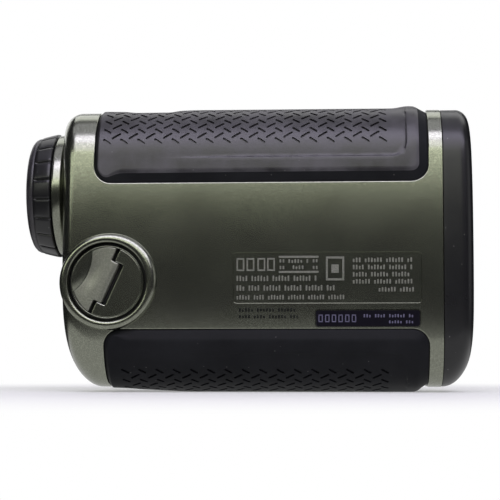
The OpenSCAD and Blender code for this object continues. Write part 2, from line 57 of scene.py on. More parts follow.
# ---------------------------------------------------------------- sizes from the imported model

def span(node):
    """Lowest and highest corner of a node, in millimetres."""
    lo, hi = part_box(node)
    return np.array(lo) * 1000.0, np.array(hi) * 1000.0


def middle(node):
    lo, hi = span(node)
    return (lo + hi) / 2


left_lo, left_hi = span("left_housing")
bezel_hi = span("front_bezel")[1]
REAR, SEAM, BASE, TOP = left_lo[0], left_hi[0], left_lo[2], left_hi[2]
FRONT = bezel_hi[0]
HALF = bezel_hi[1] + 0.1
MID = (BASE + TOP) / 2
# radii of the crowned side, the long corners, the rear edge and the rear face
CROWN, EDGE, ROUND, BOW = 260.0, 13.0, 5.0, 95.0
# length and height of the upward sweep under the rear
SWEEP_W, SWEEP_H = 10.2, 20.6
U_FLAT = REAR + ROUND
U_END = U_FLAT - ROUND * math.pi / 2
# how far the grips stand out of the paint
PROUD = 0.8
SIGHT, RECEIVER = middle("objective_lens")[2], middle("receiver_lens")[2]
BATTERY, POWER, SOCKET = middle("battery"), middle("power_button"), middle("tripod_insert")
MODE, LANYARD = middle("mode_button"), middle("lanyard_bar")


# ---------------------------------------------------------------- the body's form

def section_angles(zb, zt, r):
    """Angles where the crowned side meets the lower and upper corner arcs of radius r."""
    return np.arcsin((zb + r - MID) / (CROWN - r)), np.arcsin((zt - r - MID) / (CROWN - r))


low0, high0 = section_angles(BASE, TOP, EDGE)
corner_y0 = HALF - CROWN + math.sqrt((CROWN - EDGE) ** 2 - (TOP - EDGE - MID) ** 2)
pieces_len = np.array([corner_y0, EDGE * (math.pi / 2 + low0), CROWN * (high0 - low0),
                       EDGE * (math.pi / 2 - high0), corner_y0])
BREAKS = np.concatenate([[0], np.cumsum(pieces_len)])
LOOP = BREAKS[-1]


def stations(u):
    """x, inset of the sides, bottom height and bow of the section at u."""
    phi = np.clip((U_FLAT - u) / ROUND, 0, math.pi / 2)
    x = np.where(u >= U_FLAT, u, U_FLAT - ROUND * np.sin(phi))
    inset = ROUND * (1 - np.cos(phi))
    q = np.clip((REAR + SWEEP_W - x) / SWEEP_W, 0, 1)
    zb = BASE + SWEEP_H * (1 - np.sqrt(np.maximum(0, 1 - q * q)))
    return x, inset, zb, np.sin(phi) ** 2


def section(s, zb, zt, w, r):
    """Point (y, z) of half a cross-section at arc position s, from bottom middle to top middle.

    It reaches from height zb to zt and is w wide, with corners of radius r.
    """
    low, high = section_angles(zb, zt, r)
    yb = w - CROWN + np.sqrt((CROWN - r) ** 2 - (zb + r - MID) ** 2)
    yt = w - CROWN + np.sqrt((CROWN - r) ** 2 - (zt - r - MID) ** 2)
    k = [np.clip((s - BREAKS[i]) / (BREAKS[i + 1] - BREAKS[i]), 0, 1) for i in range(5)]
    a1 = -math.pi / 2 + (low + math.pi / 2) * k[1]
    a2 = low + (high - low) * k[2]
    a3 = high + (math.pi / 2 - high) * k[3]
    before = [s < BREAKS[i] for i in range(1, 5)]
    y = np.select(before, [yb * k[0], yb + r * np.cos(a1), w - CROWN + CROWN * np.cos(a2),
                           yt + r * np.cos(a3)], yt * (1 - k[4]))
    z = np.select(before, [zb + 0 * s, zb + r + r * np.sin(a1), MID + CROWN * np.sin(a2),
                           zt - r + r * np.sin(a3)], zt + 0 * s)
    return y, z


def raw_body(u, s):
    """Skin point at (u, s) on the +Y half."""
    x, inset, zb, bow = stations(u)
    y, z = section(s, zb, TOP - inset, HALF - inset, EDGE - inset)
    return np.stack([x + bow * y * y / (2 * BOW), y, z], -1)


def raw_normal(u, s, step=0.01):
    """Normal of the skin, from the slopes to either side."""
    along = raw_body(u + step, s) - raw_body(u - step, s)
    around = raw_body(u, s + step) - raw_body(u, s - step)
    n = np.cross(along, around)
    return -n / np.maximum(np.linalg.norm(n, axis=-1, keepdims=True), 1e-12)


def body(u, s, h):
    """Skin point at (u, s) on the +Y half, lifted by h along the normal; and that normal."""
    u, s = np.asarray(u, float), np.asarray(s, float)
    n = raw_normal(np.clip(u, U_END + 0.02, None), np.clip(s, 0.02, LOOP - 0.02))
    p = raw_body(np.clip(u, U_END, None), s)
    # the sign makes the normal point out of the body
    out = p - np.array([0, 0, MID])
    n = np.where((n[..., 1:2] * out[..., 1:2] + n[..., 2:3] * out[..., 2:3]) < 0, -n, n)
    return p + n * np.asarray(h)[..., None], n


def s_of(x, z):
    """Arc position of side view height z at x."""
    x, z = np.broadcast_arrays(np.asarray(x, float), np.asarray(z, float))
    u = u_of(x)
    _, inset, zb, _ = stations(u)
    low, high = section_angles(zb, TOP - inset, EDGE - inset)
    angle = np.arcsin(np.clip((z - MID) / CROWN, -1, 1)) - low
    side = BREAKS[2] + (BREAKS[3] - BREAKS[2]) * angle / (high - low)
    corner = BREAKS[1] + EDGE * (np.arcsin(np.clip((z - BASE - EDGE) / EDGE, -1, 1)) + math.pi / 2)
    return np.where(side < BREAKS[2], np.minimum(corner, BREAKS[2]), side)


def u_of(x):
    """Position along the skin of side view x."""
    x = np.asarray(x, float)
    return np.where(x >= U_FLAT, x, U_FLAT - ROUND * np.arcsin(np.clip((U_FLAT - x) / ROUND, 0, 1)))


# ---------------------------------------------------------------- outlines

def ring(cx, cz, r, n=48):
    a = np.arange(n) * 2 * math.pi / n
    return np.stack([cx + r * np.cos(a), cz + r * np.sin(a)], -1)


def cut_short(loop, step):
    """Closed outline with its edges cut into pieces of about one step."""
    out = []
    for i, p in enumerate(loop):
        q = loop[(i + 1) % len(loop)]
        count = max(1, int(round(math.dist(p, q) / step)))
        out += [p + (q - p) * k / count for k in range(count)]
    return np.array(out)


def rounded(x0, z0, x1, z1, r, step=2.0, arc=6):
    """Rounded rectangle, counter-clockwise from the lower right corner, cut into steps."""
    loop = []
    for cx, cz, a0 in ((x1 - r, z0 + r, -90), (x1 - r, z1 - r, 0), (x0 + r, z1 - r, 90),
                       (x0 + r, z0 + r, 180)):
        for i in range(arc + 1):
            a = math.radians(a0 + 90 * i / arc)
            loop.append((cx + r * math.cos(a), cz + r * math.sin(a)))
    return cut_short(np.array(loop), step)


def smooth(t):
    t = np.clip(t, 0, 1)
    return t * t * (3 - 2 * t)


def box_distance(x, z, x0, z0, x1, z1, r):
    """Signed distance to a rounded rectangle, negative inside."""
    qx = np.abs(x - (x0 + x1) / 2) - (x1 - x0) / 2 + r
    qz = np.abs(z - (z0 + z1) / 2) - (z1 - z0) / 2 + r
    return np.hypot(np.maximum(qx, 0), np.maximum(qz, 0)) + np.minimum(np.maximum(qx, qz), 0) - r


# ---------------------------------------------------------------- mesh making

class Skin:
    """Gathers patches of vertices, faces and vertex normals into one mesh."""

    def __init__(self):
        self.v, self.f, self.n, self.count = [], [], [], 0

    def add(self, v, f, n=None, faces_to=None):
        """Adds a patch. It's turned to agree with its normals, or to face towards a point."""
        v = np.asarray(v, float).reshape(-1, 3)
        f = [tuple(int(i) for i in face) for face in f]
        if n is not None:
            n = np.asarray(n, float).reshape(-1, 3)
        if n is not None or faces_to is not None:
            idx = np.array([face[:3] for face in f])
            a, b, c = v[idx[:, 0]], v[idx[:, 1]], v[idx[:, 2]]
            own = np.cross(b - a, c - a)
            want = n[idx[:, 0]] if n is not None else np.asarray(faces_to, float) - a
            if (own * want).sum() < 0:
                f = [face[::-1] for face in f]
        self.v.append(v)
        self.n.append(np.zeros_like(v) if n is None else n)
        self.f += [tuple(i + self.count for i in face) for face in f]
        self.count += len(v)

    def strips(self, loops, normals=None, closed=True, faces_to=None):
        """Quads between loops that all have the same number of points."""
        loops = [np.asarray(loop, float) for loop in loops]
        n = len(loops[0])
        f = []
        for k in range(len(loops) - 1):
            for i in range(n if closed else n - 1):
                j = (i + 1) % n
                f.append((k * n + i, k * n + j, (k + 1) * n + j, (k + 1) * n + i))
        joined = None if normals is None else np.concatenate(normals)
        self.add(np.concatenate(loops), f, joined, faces_to)

    def disc(self, loop, faces_to):
        """Closes a loop with a fan round its middle."""
        loop = np.asarray(loop, float)
        n = len(loop)
        fan = [(i, (i + 1) % n, n) for i in range(n)]
        self.add(np.vstack([loop, loop.mean(0)]), fan, None, faces_to)

    def mirror_y(self):
        self.v = [v * [1, -1, 1] for v in self.v]
        self.n = [n * [1, -1, 1] for n in self.n]
        self.f = [f[::-1] for f in self.f]
        return self


def facing_out(v, faces):
    """Turns the faces of a piece so that they all look outwards, across the seams of its patches."""
    bm = bmesh.new()
    row = bm.faces.layers.int.new("row")
    corners = [bm.verts.new(p) for p in v]
    before = []
    for k, f in enumerate(faces):
        face = bm.faces.new([corners[i] for i in f])
        face[row] = k
        face.normal_update()
        before.append(face.normal.copy())
    bmesh.ops.remove_doubles(bm, verts=bm.verts, dist=2e-4)
    bmesh.ops.recalc_face_normals(bm, faces=bm.faces)
    turned_over = {face[row] for face in bm.faces if face.normal.dot(before[face[row]]) < 0}
    bm.free()
    return [f[::-1] if k in turned_over else f for k, f in enumerate(faces)]


def new_object(name, data):
    ob = bpy.data.objects.new(name, data)
    bpy.context.scene.collection.objects.link(ob)
    return ob


def finish_mesh(name, skin, finish, body_name, stands_for=(), edge=None, turn=True):
    """Makes the piece. edge = (finish, number of leading faces that wear it).

    A skin with no normals of its own has its faces turned outwards, unless turn is False.
    """
    me = bpy.data.meshes.new(name)
    v = np.concatenate(skin.v) * MM
    n = np.concatenate(skin.n)
    given = np.abs(n).sum() > 0
    faces = facing_out(v / MM, skin.f) if turn and not given else skin.f
    me.from_pydata(v.tolist(), [], faces)
    me.polygons.foreach_set("use_smooth", [True] * len(me.polygons))
    me.update()
    if given:
        length = np.linalg.norm(n, axis=1, keepdims=True)
        n = np.where(length > 1e-6, n / np.maximum(length, 1e-9), 0)
        me.normals_split_custom_set_from_vertices(n.tolist())
    ob = new_object(name, me)
    me.materials.append(FINISH[finish])
    if edge:
        me.materials.append(FINISH[edge[0]])
        me.polygons.foreach_set("material_index", [1] * edge[1] + [0] * (len(me.polygons) - edge[1]))
    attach(ob, body_name)
    if stands_for:
        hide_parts(*stands_for)


def offset(loop, d):
    """Moves a counter-clockwise loop outwards by d, with mitred corners."""
    a, b = loop - np.roll(loop, 1, 0), np.roll(loop, -1, 0) - loop
    a /= np.maximum(np.linalg.norm(a, axis=1, keepdims=True), 1e-9)
    b /= np.maximum(np.linalg.norm(b, axis=1, keepdims=True), 1e-9)
    t = a + b
    t /= np.maximum(np.linalg.norm(t, axis=1, keepdims=True), 1e-9)
    n = np.stack([t[:, 1], -t[:, 0]], -1)
    stretch = 1 / np.maximum(np.abs((a * t).sum(1)), 0.6)
    return loop + n * (np.asarray(d) * stretch)[:, None]


def inside(points, loop):
    """True for each point that lies inside the loop."""
    x, y = points[:, :1], points[:, 1:]
    a, b = loop, np.roll(loop, -1, 0)
    crosses = (a[:, 1] > y) != (b[:, 1] > y)
    rise = np.where(b[:, 1] == a[:, 1], 1e-9, b[:, 1] - a[:, 1])
    return (crosses & (x < a[:, 0] + (y - a[:, 1]) * (b[:, 0] - a[:, 0]) / rise)).sum(1) % 2 == 1


def clear_of(points, loops, gap):
    """Points that keep at least gap from every corner of the loops."""
    corners = np.concatenate(loops)
    keep = np.ones(len(points), bool)
    for i in range(0, len(points), 500):
        block = points[i:i + 500]
        d = ((block[:, None] - corners[None]) ** 2).sum(-1).min(1)
        keep[i:i + 500] = d > gap * gap
    return points[keep]


def grid(xs, ys):
    a, b = np.meshgrid(xs, ys, indexing="ij")
    return np.stack([a.ravel(), b.ravel()], -1)


def open_area(outer, holes, points, gap):
    """Grid points inside the outline, outside the holes, and not too close to any of them."""
    points = points[inside(points, outer)]
    for hole in holes:
        points = points[~inside(points, hole)]
    return clear_of(points, [outer] + list(holes), gap)


def triangulate(outer, holes, extra):
    """Constrained triangulation of an outline, with convex holes left open."""
    loops = [np.asarray(outer)] + [np.asarray(h) for h in holes]
    pts, edges, owner = [], [], []
    for k, loop in enumerate(loops):
        base = len(pts)
        pts += [tuple(p) for p in loop]
        edges += [(base + i, base + (i + 1) % len(loop)) for i in range(len(loop))]
        owner += [k] * len(loop)
    pts += [tuple(p) for p in extra]
    owner += [-1] * len(extra)
    v, _, f, origin, _, _ = geometry.delaunay_2d_cdt([Vector(p) for p in pts], edges, [], 0, 1e-4)
    sets = [{owner[i] for i in o if owner[i] > 0} for o in origin]
    faces = np.array([tri for tri in f if not sets[tri[0]] & sets[tri[1]] & sets[tri[2]]])
    v = np.array([tuple(p) for p in v])
    a, b, c = v[faces[:, 0]], v[faces[:, 1]], v[faces[:, 2]]
    area = (b[:, 0] - a[:, 0]) * (c[:, 1] - a[:, 1]) - (b[:, 1] - a[:, 1]) * (c[:, 0] - a[:, 0])
    faces[area < 0] = faces[area < 0][:, ::-1]
    return v, faces[(np.abs(area) > 1e-7) & inside((a + b + c) / 3, loops[0])]


def fillet(points, radii, steps=4):
    """Rounds the inner corners of an open path; radii has a value for every point."""
    pts = [np.array(p, float) for p in points]
    out = [pts[0]]
    for i in range(1, len(pts) - 1):
        a, b, c = pts[i - 1], pts[i], pts[i + 1]
        la, lc = np.linalg.norm(a - b), np.linalg.norm(c - b)
        d = min(radii[i], la * 0.45, lc * 0.45)
        if d < 0.01:
            out.append(b)
            continue
        p, q = b + (a - b) / la * d, b + (c - b) / lc * d
        for k in range(steps + 1):
            t = k / steps
            out.append((1 - t) ** 2 * p + 2 * t * (1 - t) * b + t * t * q)
    out.append(pts[-1])
    return out


# ---------------------------------------------------------------- materials

# sizes of the metal flakes and of the cells that carry a dust speck
FLAKE, SPECK = 0.16, 2.6
DUST_COLOUR = (0.32, 0.31, 0.3)
FINISH = {}


def add_node(tree, kind, *sources, **values):
    """A node with its values set, and its first inputs linked to the sources."""
    made = tree.nodes.new(kind)
    for key, value in values.items():
        if hasattr(made, key):
            setattr(made, key, value)
        else:
            made.inputs[key.replace("_", " ")].default_value = value
    for source, socket in zip(sources, made.inputs):
        tree.links.new(source, socket)
    return made


def add_range(tree, source, to, frm=(0.3, 0.7), **values):
    """The source, mapped from one range of values to another."""
    made = add_node(tree, "ShaderNodeMapRange", source, **values)
    for socket, value in zip(made.inputs[1:5], (*frm, *to)):
        socket.default_value = value
    return made.outputs[0]


def material(name, colour, second=None, rough=(0.4, 0.5), metallic=0.0, patch=9.0, grain=0.25,
             bump=0.01, flakes=0.0, coat=0.0, coat_rough=0.15, sheen=0.0, specular=0.5, ior=1.5,
             transmission=0.0, scratches=0.0, stretch=(1, 1, 1), dust=0.0):
    """A procedural finish: patches of two tones, fine grain, and optional flakes, scratches and dust.

    patch and grain are sizes in millimetres, and bump is the grain's depth in millimetres.
    """
    mat = bpy.data.materials.new(name)
    mat.use_nodes = True
    tree = mat.node_tree
    shader = tree.nodes["Principled BSDF"]
    link = tree.links.new

    def tinted(factor, base, over):
        made = add_node(tree, "ShaderNodeMix", factor, data_type="RGBA")
        for socket, value in ((made.inputs[6], base), (made.inputs[7], over)):
            if isinstance(value, bpy.types.NodeSocket):
                link(value, socket)
            else:
                socket.default_value = (*value, 1)
        return made.outputs[2]

    place = add_node(tree, "ShaderNodeTexCoord").outputs["Object"]
    place = add_node(tree, "ShaderNodeMapping", place, Scale=stretch).outputs["Vector"]
    patches = add_node(tree, "ShaderNodeTexNoise", place, Scale=1 / (patch * MM), Detail=4.0, Roughness=0.55)
    fine = add_node(tree, "ShaderNodeTexNoise", place, Scale=1 / (grain * MM), Detail=2.0)
    second = second or tuple(0.7 * c for c in colour)
    tone = tinted(add_range(tree, patches.outputs["Fac"], (0, 1)), colour, second)
    if flakes:
        cells = add_node(tree, "ShaderNodeTexVoronoi", place, Scale=1 / (FLAKE * MM))
        bright = add_node(tree, "ShaderNodeSeparateColor", cells.outputs["Color"]).outputs[0]
        pale = tuple(min(1, c * (1 + flakes)) for c in colour)
        tone = tinted(add_range(tree, bright, (0, 1), (0.45, 1.0)), tone, pale)
    if scratches:
        across = add_node(tree, "ShaderNodeMapping", place, Scale=(1, 4, 11), Rotation=(0.3, 0.5, 0.2))
        lines = add_node(tree, "ShaderNodeTexNoise", across.outputs["Vector"], Scale=140.0, Detail=3.0,
                         Distortion=0.4)
        lines = add_range(tree, lines.outputs["Fac"], (0, scratches), (0.66, 0.74))
        tone = tinted(lines, tone, tuple(min(1, 1.9 * c + 0.05) for c in colour))
    if dust:
        specks = add_node(tree, "ShaderNodeTexVoronoi", place, Scale=1 / (SPECK * MM))
        small = add_range(tree, specks.outputs["Distance"], (dust, 0), (0.03, 0.06))
        tone = tinted(small, tone, DUST_COLOUR)
    link(tone, shader.inputs["Base Color"])
    link(add_range(tree, patches.outputs["Fac"], rough), shader.inputs["Roughness"])
    relief = add_node(tree, "ShaderNodeBump", Strength=1.0, Distance=bump * MM)
    link(fine.outputs["Fac"], relief.inputs["Height"])
    link(relief.outputs["Normal"], shader.inputs["Normal"])
    for key, value in {"Metallic": metallic, "Coat Weight": coat, "Coat Roughness": coat_rough,
                       "Sheen Weight": sheen, "Specular IOR Level": specular, "IOR": ior,
                       "Transmission Weight": transmission}.items():
        shader.inputs[key].default_value = value
    shader.inputs["Sheen Roughness"].default_value = 0.45
    shader.inputs["Sheen Tint"].default_value = (0.75, 0.72, 0.9, 1)
    FINISH[name] = mat


material("olive_paint", (0.25, 0.26, 0.212), (0.225, 0.235, 0.19), (0.195, 0.235), metallic=0.97,
         flakes=0.35, bump=0.006, grain=0.28, coat=0.25, coat_rough=0.22, scratches=0.12, patch=14)
material("black_plastic", (0.0085, 0.0085, 0.0095), (0.0065, 0.0065, 0.0075), (0.27, 0.35),
         bump=0.008, grain=0.28, dust=0.5, specular=0.55)
# one rubber in two copies: the first, darker and duller, is painted shade for the bottom grip and the grips'
# downturned edges; the second, lighter and shinier, is painted light for the top grip and the eyecup; the
# dust specks of both are real
material("painted_shade_rubber", (0.007, 0.0073, 0.0088), (0.012, 0.0125, 0.0145), (0.42, 0.52), grain=0.35,
         specular=0.08, dust=0.25, patch=12)
material("grip_rubber", (0.012, 0.011, 0.013), (0.05, 0.047, 0.055), (0.34, 0.48), bump=0.012,
         grain=0.4, specular=0.65, dust=0.3, patch=7)
material("inner_black", (0.012, 0.012, 0.013), None, (0.6, 0.75))
material("steel", (0.55, 0.55, 0.57), (0.42, 0.42, 0.44), (0.22, 0.34), metallic=1.0, bump=0.003,
         patch=3, stretch=(1, 1, 6))
material("insert_brass", (0.62, 0.47, 0.2), (0.45, 0.33, 0.14), (0.28, 0.42), metallic=1.0,
         bump=0.004, patch=2)
material("plate_purple", (0.0028, 0.0022, 0.006), (0.004, 0.003, 0.008), (0.4, 0.5), bump=0.003,
         specular=0.12)
material("optical_glass", (0.93, 0.97, 0.95), (0.9, 0.95, 0.93), (0.0, 0.02), transmission=1.0,
         bump=0.0002, ior=1.52)
material("coated_glass", (0.78, 0.72, 0.95), (0.72, 0.68, 0.92), (0.0, 0.02), transmission=1.0,
         bump=0.0002, ior=1.52, coat=1.0, coat_rough=0.02)
material("receiver_glass", (0.45, 0.08, 0.1), (0.38, 0.06, 0.09), (0.02, 0.04), transmission=0.9,
         bump=0.0002, ior=1.52, coat=1.0, coat_rough=0.02)
material("chassis_alloy", (0.16, 0.16, 0.17), (0.12, 0.12, 0.13), (0.45, 0.55), metallic=0.8)
material("circuit_board", (0.02, 0.12, 0.05), (0.015, 0.09, 0.035), (0.3, 0.42), patch=1.5)
material("chip_black", (0.02, 0.02, 0.022), None, (0.5, 0.6), bump=0.006)
material("flex_amber", (0.55, 0.24, 0.04), (0.45, 0.18, 0.03), (0.3, 0.4), bump=0.004)
material("gold_can", (0.75, 0.55, 0.22), (0.62, 0.45, 0.18), (0.2, 0.3), metallic=1.0, bump=0.002)
material("display_glass", (0.12, 0.14, 0.13), (0.1, 0.12, 0.11), (0.05, 0.1), bump=0.0005)
material("cell_wrap", (0.16, 0.17, 0.19), (0.62, 0.5, 0.14), (0.25, 0.35), bump=0.004, patch=30)
material("button_rubber", (0.035, 0.033, 0.038), (0.028, 0.027, 0.03), (0.5, 0.6), sheen=0.2)
material("seal_rubber", (0.018, 0.018, 0.019), None, (0.45, 0.55), bump=0.004)
material("tube_plastic", (0.03, 0.03, 0.033), None, (0.4, 0.5), bump=0.008)
material("tab_paint", (0.25, 0.255, 0.215), (0.19, 0.195, 0.16), (0.34, 0.4), metallic=0.7, flakes=0.25,
         bump=0.004, grain=0.3, coat=0.2, coat_rough=0.3, scratches=0.25, patch=4)
# the body paint made lighter and less metallic for the raised marks: a painted highlight where they catch
# the light
material("olive_painted_highlight", (0.24, 0.24, 0.215), (0.17, 0.175, 0.15), (0.3, 0.4), metallic=0.5, flakes=0.3,
         bump=0.004, grain=0.2)
material("pale_print", (0.1, 0.095, 0.16), (0.07, 0.065, 0.12), (0.5, 0.6), bump=0.002)
material("dark_print", (0.004, 0.0045, 0.004), None, (0.2, 0.28), bump=0.002)
material("floor", (0.88, 0.88, 0.88), (0.86, 0.86, 0.86), (0.6, 0.7), patch=80, grain=2)


# ---------------------------------------------------------------- stage, light and camera

# distances from the middle between which the floor turns from matt to glowing, and the glowing shares
FLOOR_REACH, FLOOR_SHARE = (60, 170), (0.3, 1)
FLOOR_R = 2600
# distances between which the card under the model fades out, and its brightness
CARD_REACH, CARD_GLOW = (90, 150), 0.6
# radius and height of each ring of the white tent
TENT = ((FLOOR_R, -30), (FLOOR_R, 900), (2200, 1700), (1300, 2300))
# height of the model's middle and distance of the overhead lights from it, in metres
CENTRE_Z, LIGHT_REACH = 0.035, 0.75
# name, elevation, shift along x, width, height, radiance and colour of each overhead band
OVERHEAD = [
    ("band_low", 22, -0.4, 1.3, 0.15, 2.25, (0.96, 1, 0.82)),
    ("band_mid", 36, 0.2, 1.1, 0.20, 2.8, (0.95, 0.92, 1)),
    ("band_high", 54, 0.2, 1.1, 0.24, 4.6, (0.85, 0.8, 1)),
    ("band_top", 84, 0.0, 1.1, 0.42, 0.75, (0.9, 0.88, 1)),
]
# name, place, width, height and radiance of the lights round the model
AROUND = [
    ("rim", (0.1, 0.5, 0.85), 1.2, 0.5, 1.5),
    ("left_fill", (-0.2, 0.85, 0.35), 1.0, 0.4, 1.0),
    ("side_front", (0.95, -0.1, 0.25), 0.5, 0.6, 0.5),
    ("side_rear", (-0.6, 0.75, 0.4), 0.5, 0.5, 0.25),
]
CAMERA, LOOK_AT, LENS = (0.024, -0.370, 0.0074), (0, 0, 0.0354), 106.3


def level_ring(r, z):
    turn = np.arange(64) * 2 * math.pi / 64
    return np.stack([r * np.cos(turn), r * np.sin(turn), 0 * turn + z], -1)


def staged(name, skin, finish):
    me = bpy.data.meshes.new(name)
    me.from_pydata((np.concatenate(skin.v) * MM).tolist(), [], skin.f)
    me.materials.append(finish)
    ob = new_object(name, me)
    return ob


def stage_disc(name, radius, z, finish):
    """A flat disc that lies level."""
    skin = Skin()
    loops = [level_ring(1, z), level_ring(radius, z)]
    skin.strips(loops, faces_to=(0, 0, 1e6))
    skin.disc(loops[0], faces_to=(0, 0, 1e6))
    return staged(name, skin, finish)


def fading(tree, reach, shares):
    """A value that goes smoothly from one share to the other between two distances from the middle."""
    place = add_node(tree, "ShaderNodeTexCoord").outputs["Object"]
    length = add_node(tree, "ShaderNodeVectorMath", place, operation="LENGTH").outputs["Value"]
    frm = (reach[0] * MM, reach[1] * MM)
    return add_range(tree, length, shares, frm, interpolation_type="SMOOTHSTEP")


def glow(name, reach=None, shares=None):
    """A white glowing finish of strength 1, or one that fades between two distances."""
    mat = bpy.data.materials.new(name)
    mat.use_nodes = True
    tree = mat.node_tree
    tree.nodes.remove(tree.nodes["Principled BSDF"])
    lamp = add_node(tree, "ShaderNodeEmission", Strength=1.0)
    tree.links.new(lamp.outputs[0], tree.nodes["Material Output"].inputs[0])
    if reach:
        tree.links.new(fading(tree, reach, shares), lamp.inputs["Strength"])
    return mat


def blended_floor():
    """Floor finish: matt near the model, where its shadow falls, and glowing white far away."""
    tree = FINISH["floor"].node_tree
    lamp = add_node(tree, "ShaderNodeEmission", Strength=1.0)
    matt = tree.nodes["Principled BSDF"].outputs[0]
    share = fading(tree, FLOOR_REACH, FLOOR_SHARE)
    mix = add_node(tree, "ShaderNodeMixShader", share, matt, lamp.outputs[0])
    tree.links.new(mix.outputs[0], tree.nodes["Material Output"].inputs[0])
    return FINISH["floor"]


def hide_from(ob, *rays):
    for ray in rays:
        setattr(ob, "visible_" + ray, False)


def make_stage():
    floor = stage_disc("floor", FLOOR_R, -0.02, blended_floor())
    hide_from(floor, "glossy", "transmission")
    # what the model reflects instead of the floor: a bright patch with a soft end
    card = stage_disc("bounce_card", CARD_REACH[1], -0.06, glow("card_glow", CARD_REACH, (CARD_GLOW, 0)))
    hide_from(card, "camera", "diffuse", "shadow")
    # a white tent that only the camera sees
    tent = Skin()
    wall = [level_ring(r, z) for r, z in TENT]
    tent.strips(wall, faces_to=(0, 0, 500))
    tent.disc(wall[-1], faces_to=(0, 0, 0))
    backdrop = staged("backdrop", tent, glow("backdrop_glow"))
    hide_from(backdrop, "diffuse", "glossy", "transmission", "shadow")


def aimed(name, data, place, target):
    """A light or camera at place, looking at target, both in metres."""
    ob = new_object(name, data)
    ob.location = place
    ob.rotation_euler = (Vector(target) - Vector(place)).to_track_quat("-Z", "Y").to_euler()
    return ob


def softbox(name, place, target, width, height, radiance, colour=(1, 1, 1)):
    """A rectangular light of the given radiance; places and sizes are in metres."""
    lamp = bpy.data.lights.new(name, "AREA")
    lamp.shape = "RECTANGLE"
    lamp.size, lamp.size_y = width, height
    lamp.energy = radiance * math.pi * width * height
    lamp.color = colour
    aimed(name, lamp, place, target)


def make_lights():
    for name, elevation, along, wide, high, radiance, colour in OVERHEAD:
        a = math.radians(elevation)
        place = (along, -LIGHT_REACH * math.cos(a), CENTRE_Z + LIGHT_REACH * math.sin(a))
        softbox(name, place, (along, 0, CENTRE_Z), wide, high, radiance, colour)
    for name, place, wide, high, radiance in AROUND:
        softbox(name, place, (0, 0, CENTRE_Z), wide, high, radiance)
    world = bpy.data.worlds.new("studio")
    world.use_nodes = True
    world.node_tree.nodes["Background"].inputs[0].default_value = (0.9, 0.95, 1, 1)
    world.node_tree.nodes["Background"].inputs[1].default_value = 0.012
    bpy.context.scene.world = world
    bpy.context.scene.view_settings.view_transform = "Standard"


def make_camera():
    data = bpy.data.cameras.new("camera")
    data.lens, data.sensor_width = LENS, 36
    data.clip_start, data.clip_end = 0.01, 20
    bpy.context.scene.camera = aimed("camera", data, CAMERA, LOOK_AT)


make_camera()
make_lights()
make_stage()


# ---------------------------------------------------------------- painted housing

S_TOP_SEAT = float(s_of(0, span("top_grip")[0][2]))
S_LOW_SEAT = float(s_of(0, span("bottom_grip")[1][2]))
TOP_X0, LOW_X0, GRIP_X1 = span("top_grip")[0][0], span("bottom_grip")[0][0], span("top_grip")[1][0]
# corner radius of a grip and its seat
SEAT_R = 4
# distances that the paint keeps from the middle plane and from the bezel
PART_LINE, SEAM_GAP = 0.06, 0.14
LOW_LINE, HIGH_LINE, FRONT_LINE = PART_LINE, LOOP - PART_LINE, SEAM - SEAM_GAP
# widths of the bright eased edges of a seat, a sunk panel and the lanyard pocket
SEAT_EASE, PANEL_EASE, POCKET_EASE = 0.34, 0.14, 0.35
# rows of a seat's eased edge: share of its width, and height
CHAMFER = [(0.0, 0.0), (0.35, -0.025), (0.65, -0.085), (0.88, -0.18), (1.0, -0.32)]
# radii of the holes in the paint for the battery boss, the mode key's ring and the eyepiece
BOSS_HOLE, MODE_HOLE, NECK_HOLE = 10.2, 5.2, 12.3
# x0, z0, x1, z1 of the sunk panel and of the plate's recess
PANEL, RECESS = (-2.7, 21.3, 41.9, 33.3), (16.8, 15.6, 41.6, 19.6)


def seat_outline(top, grow=0.0):
    """Open outline of a grip's seat in (u, s), from one end of the middle line to the other."""
    x0 = (TOP_X0 if top else LOW_X0) - grow
    x1, r = GRIP_X1 + grow, SEAT_R + grow
    reach = LOOP - (S_TOP_SEAT - grow) if top else S_LOW_SEAT + grow
    a = np.linspace(0, math.pi / 2, 9)
    straight = np.linspace(0, 1, 24)[:-1]
    along = np.linspace(0, 1, 52)[1:-1]
    side = reach - r
    path = np.concatenate([
        np.stack([0 * straight + x0, straight * side], -1),
        np.stack([x0 + r - r * np.cos(a), side + r * np.sin(a)], -1),
        np.stack([x0 + r + (x1 - x0 - 2 * r) * along, 0 * along + reach], -1),
        np.stack([x1 - r + r * np.sin(a), side + r * np.cos(a)], -1),
        np.stack([0 * straight + x1, straight[::-1] * side], -1)])
    if top:
        path[:, 1] = LOOP - path[:, 1]
    return path


def lifted(path, h):
    """Skin points along a path in (u, s), lifted by h, and their normals."""
    return body(path[:, 0], path[:, 1], np.full(len(path), h))


def skin_points(path, h):
    return lifted(path, h)[0]


def chamfered_opening(skin, outer, edge, depth):
    """The bright eased edge of an opening and its wall, from the outer line down to depth."""
    rows = [skin_points(outer + (edge - outer) * share, h) for share, h in [*CHAMFER, (1.0, -depth)]]
    skin.strips(rows, closed=False)


def side_loop(path):
    """A side view outline laid into (u, s)."""
    return np.stack([u_of(path[:, 0]), s_of(path[:, 0], path[:, 1])], -1)


def sunk_panel(skin, box, depth):
    """Adds a shallow panel with its wall, and returns the hole that it needs."""
    line = side_loop(rounded(*box, 0.75, step=1.6))
    grown = offset(line, PANEL_EASE)
    skin.strips([skin_points(grown, 0.0), skin_points(line, -depth)])
    lines_s = np.arange(line[:, 1].min(), line[:, 1].max(), 2.0)
    points = open_area(line, [], grid(np.arange(box[0], box[2], 2.0), lines_s), 0.7)
    v, f = triangulate(line, [], points)
    p, n = lifted(v, -depth)
    skin.add(p, f, n)
    return grown


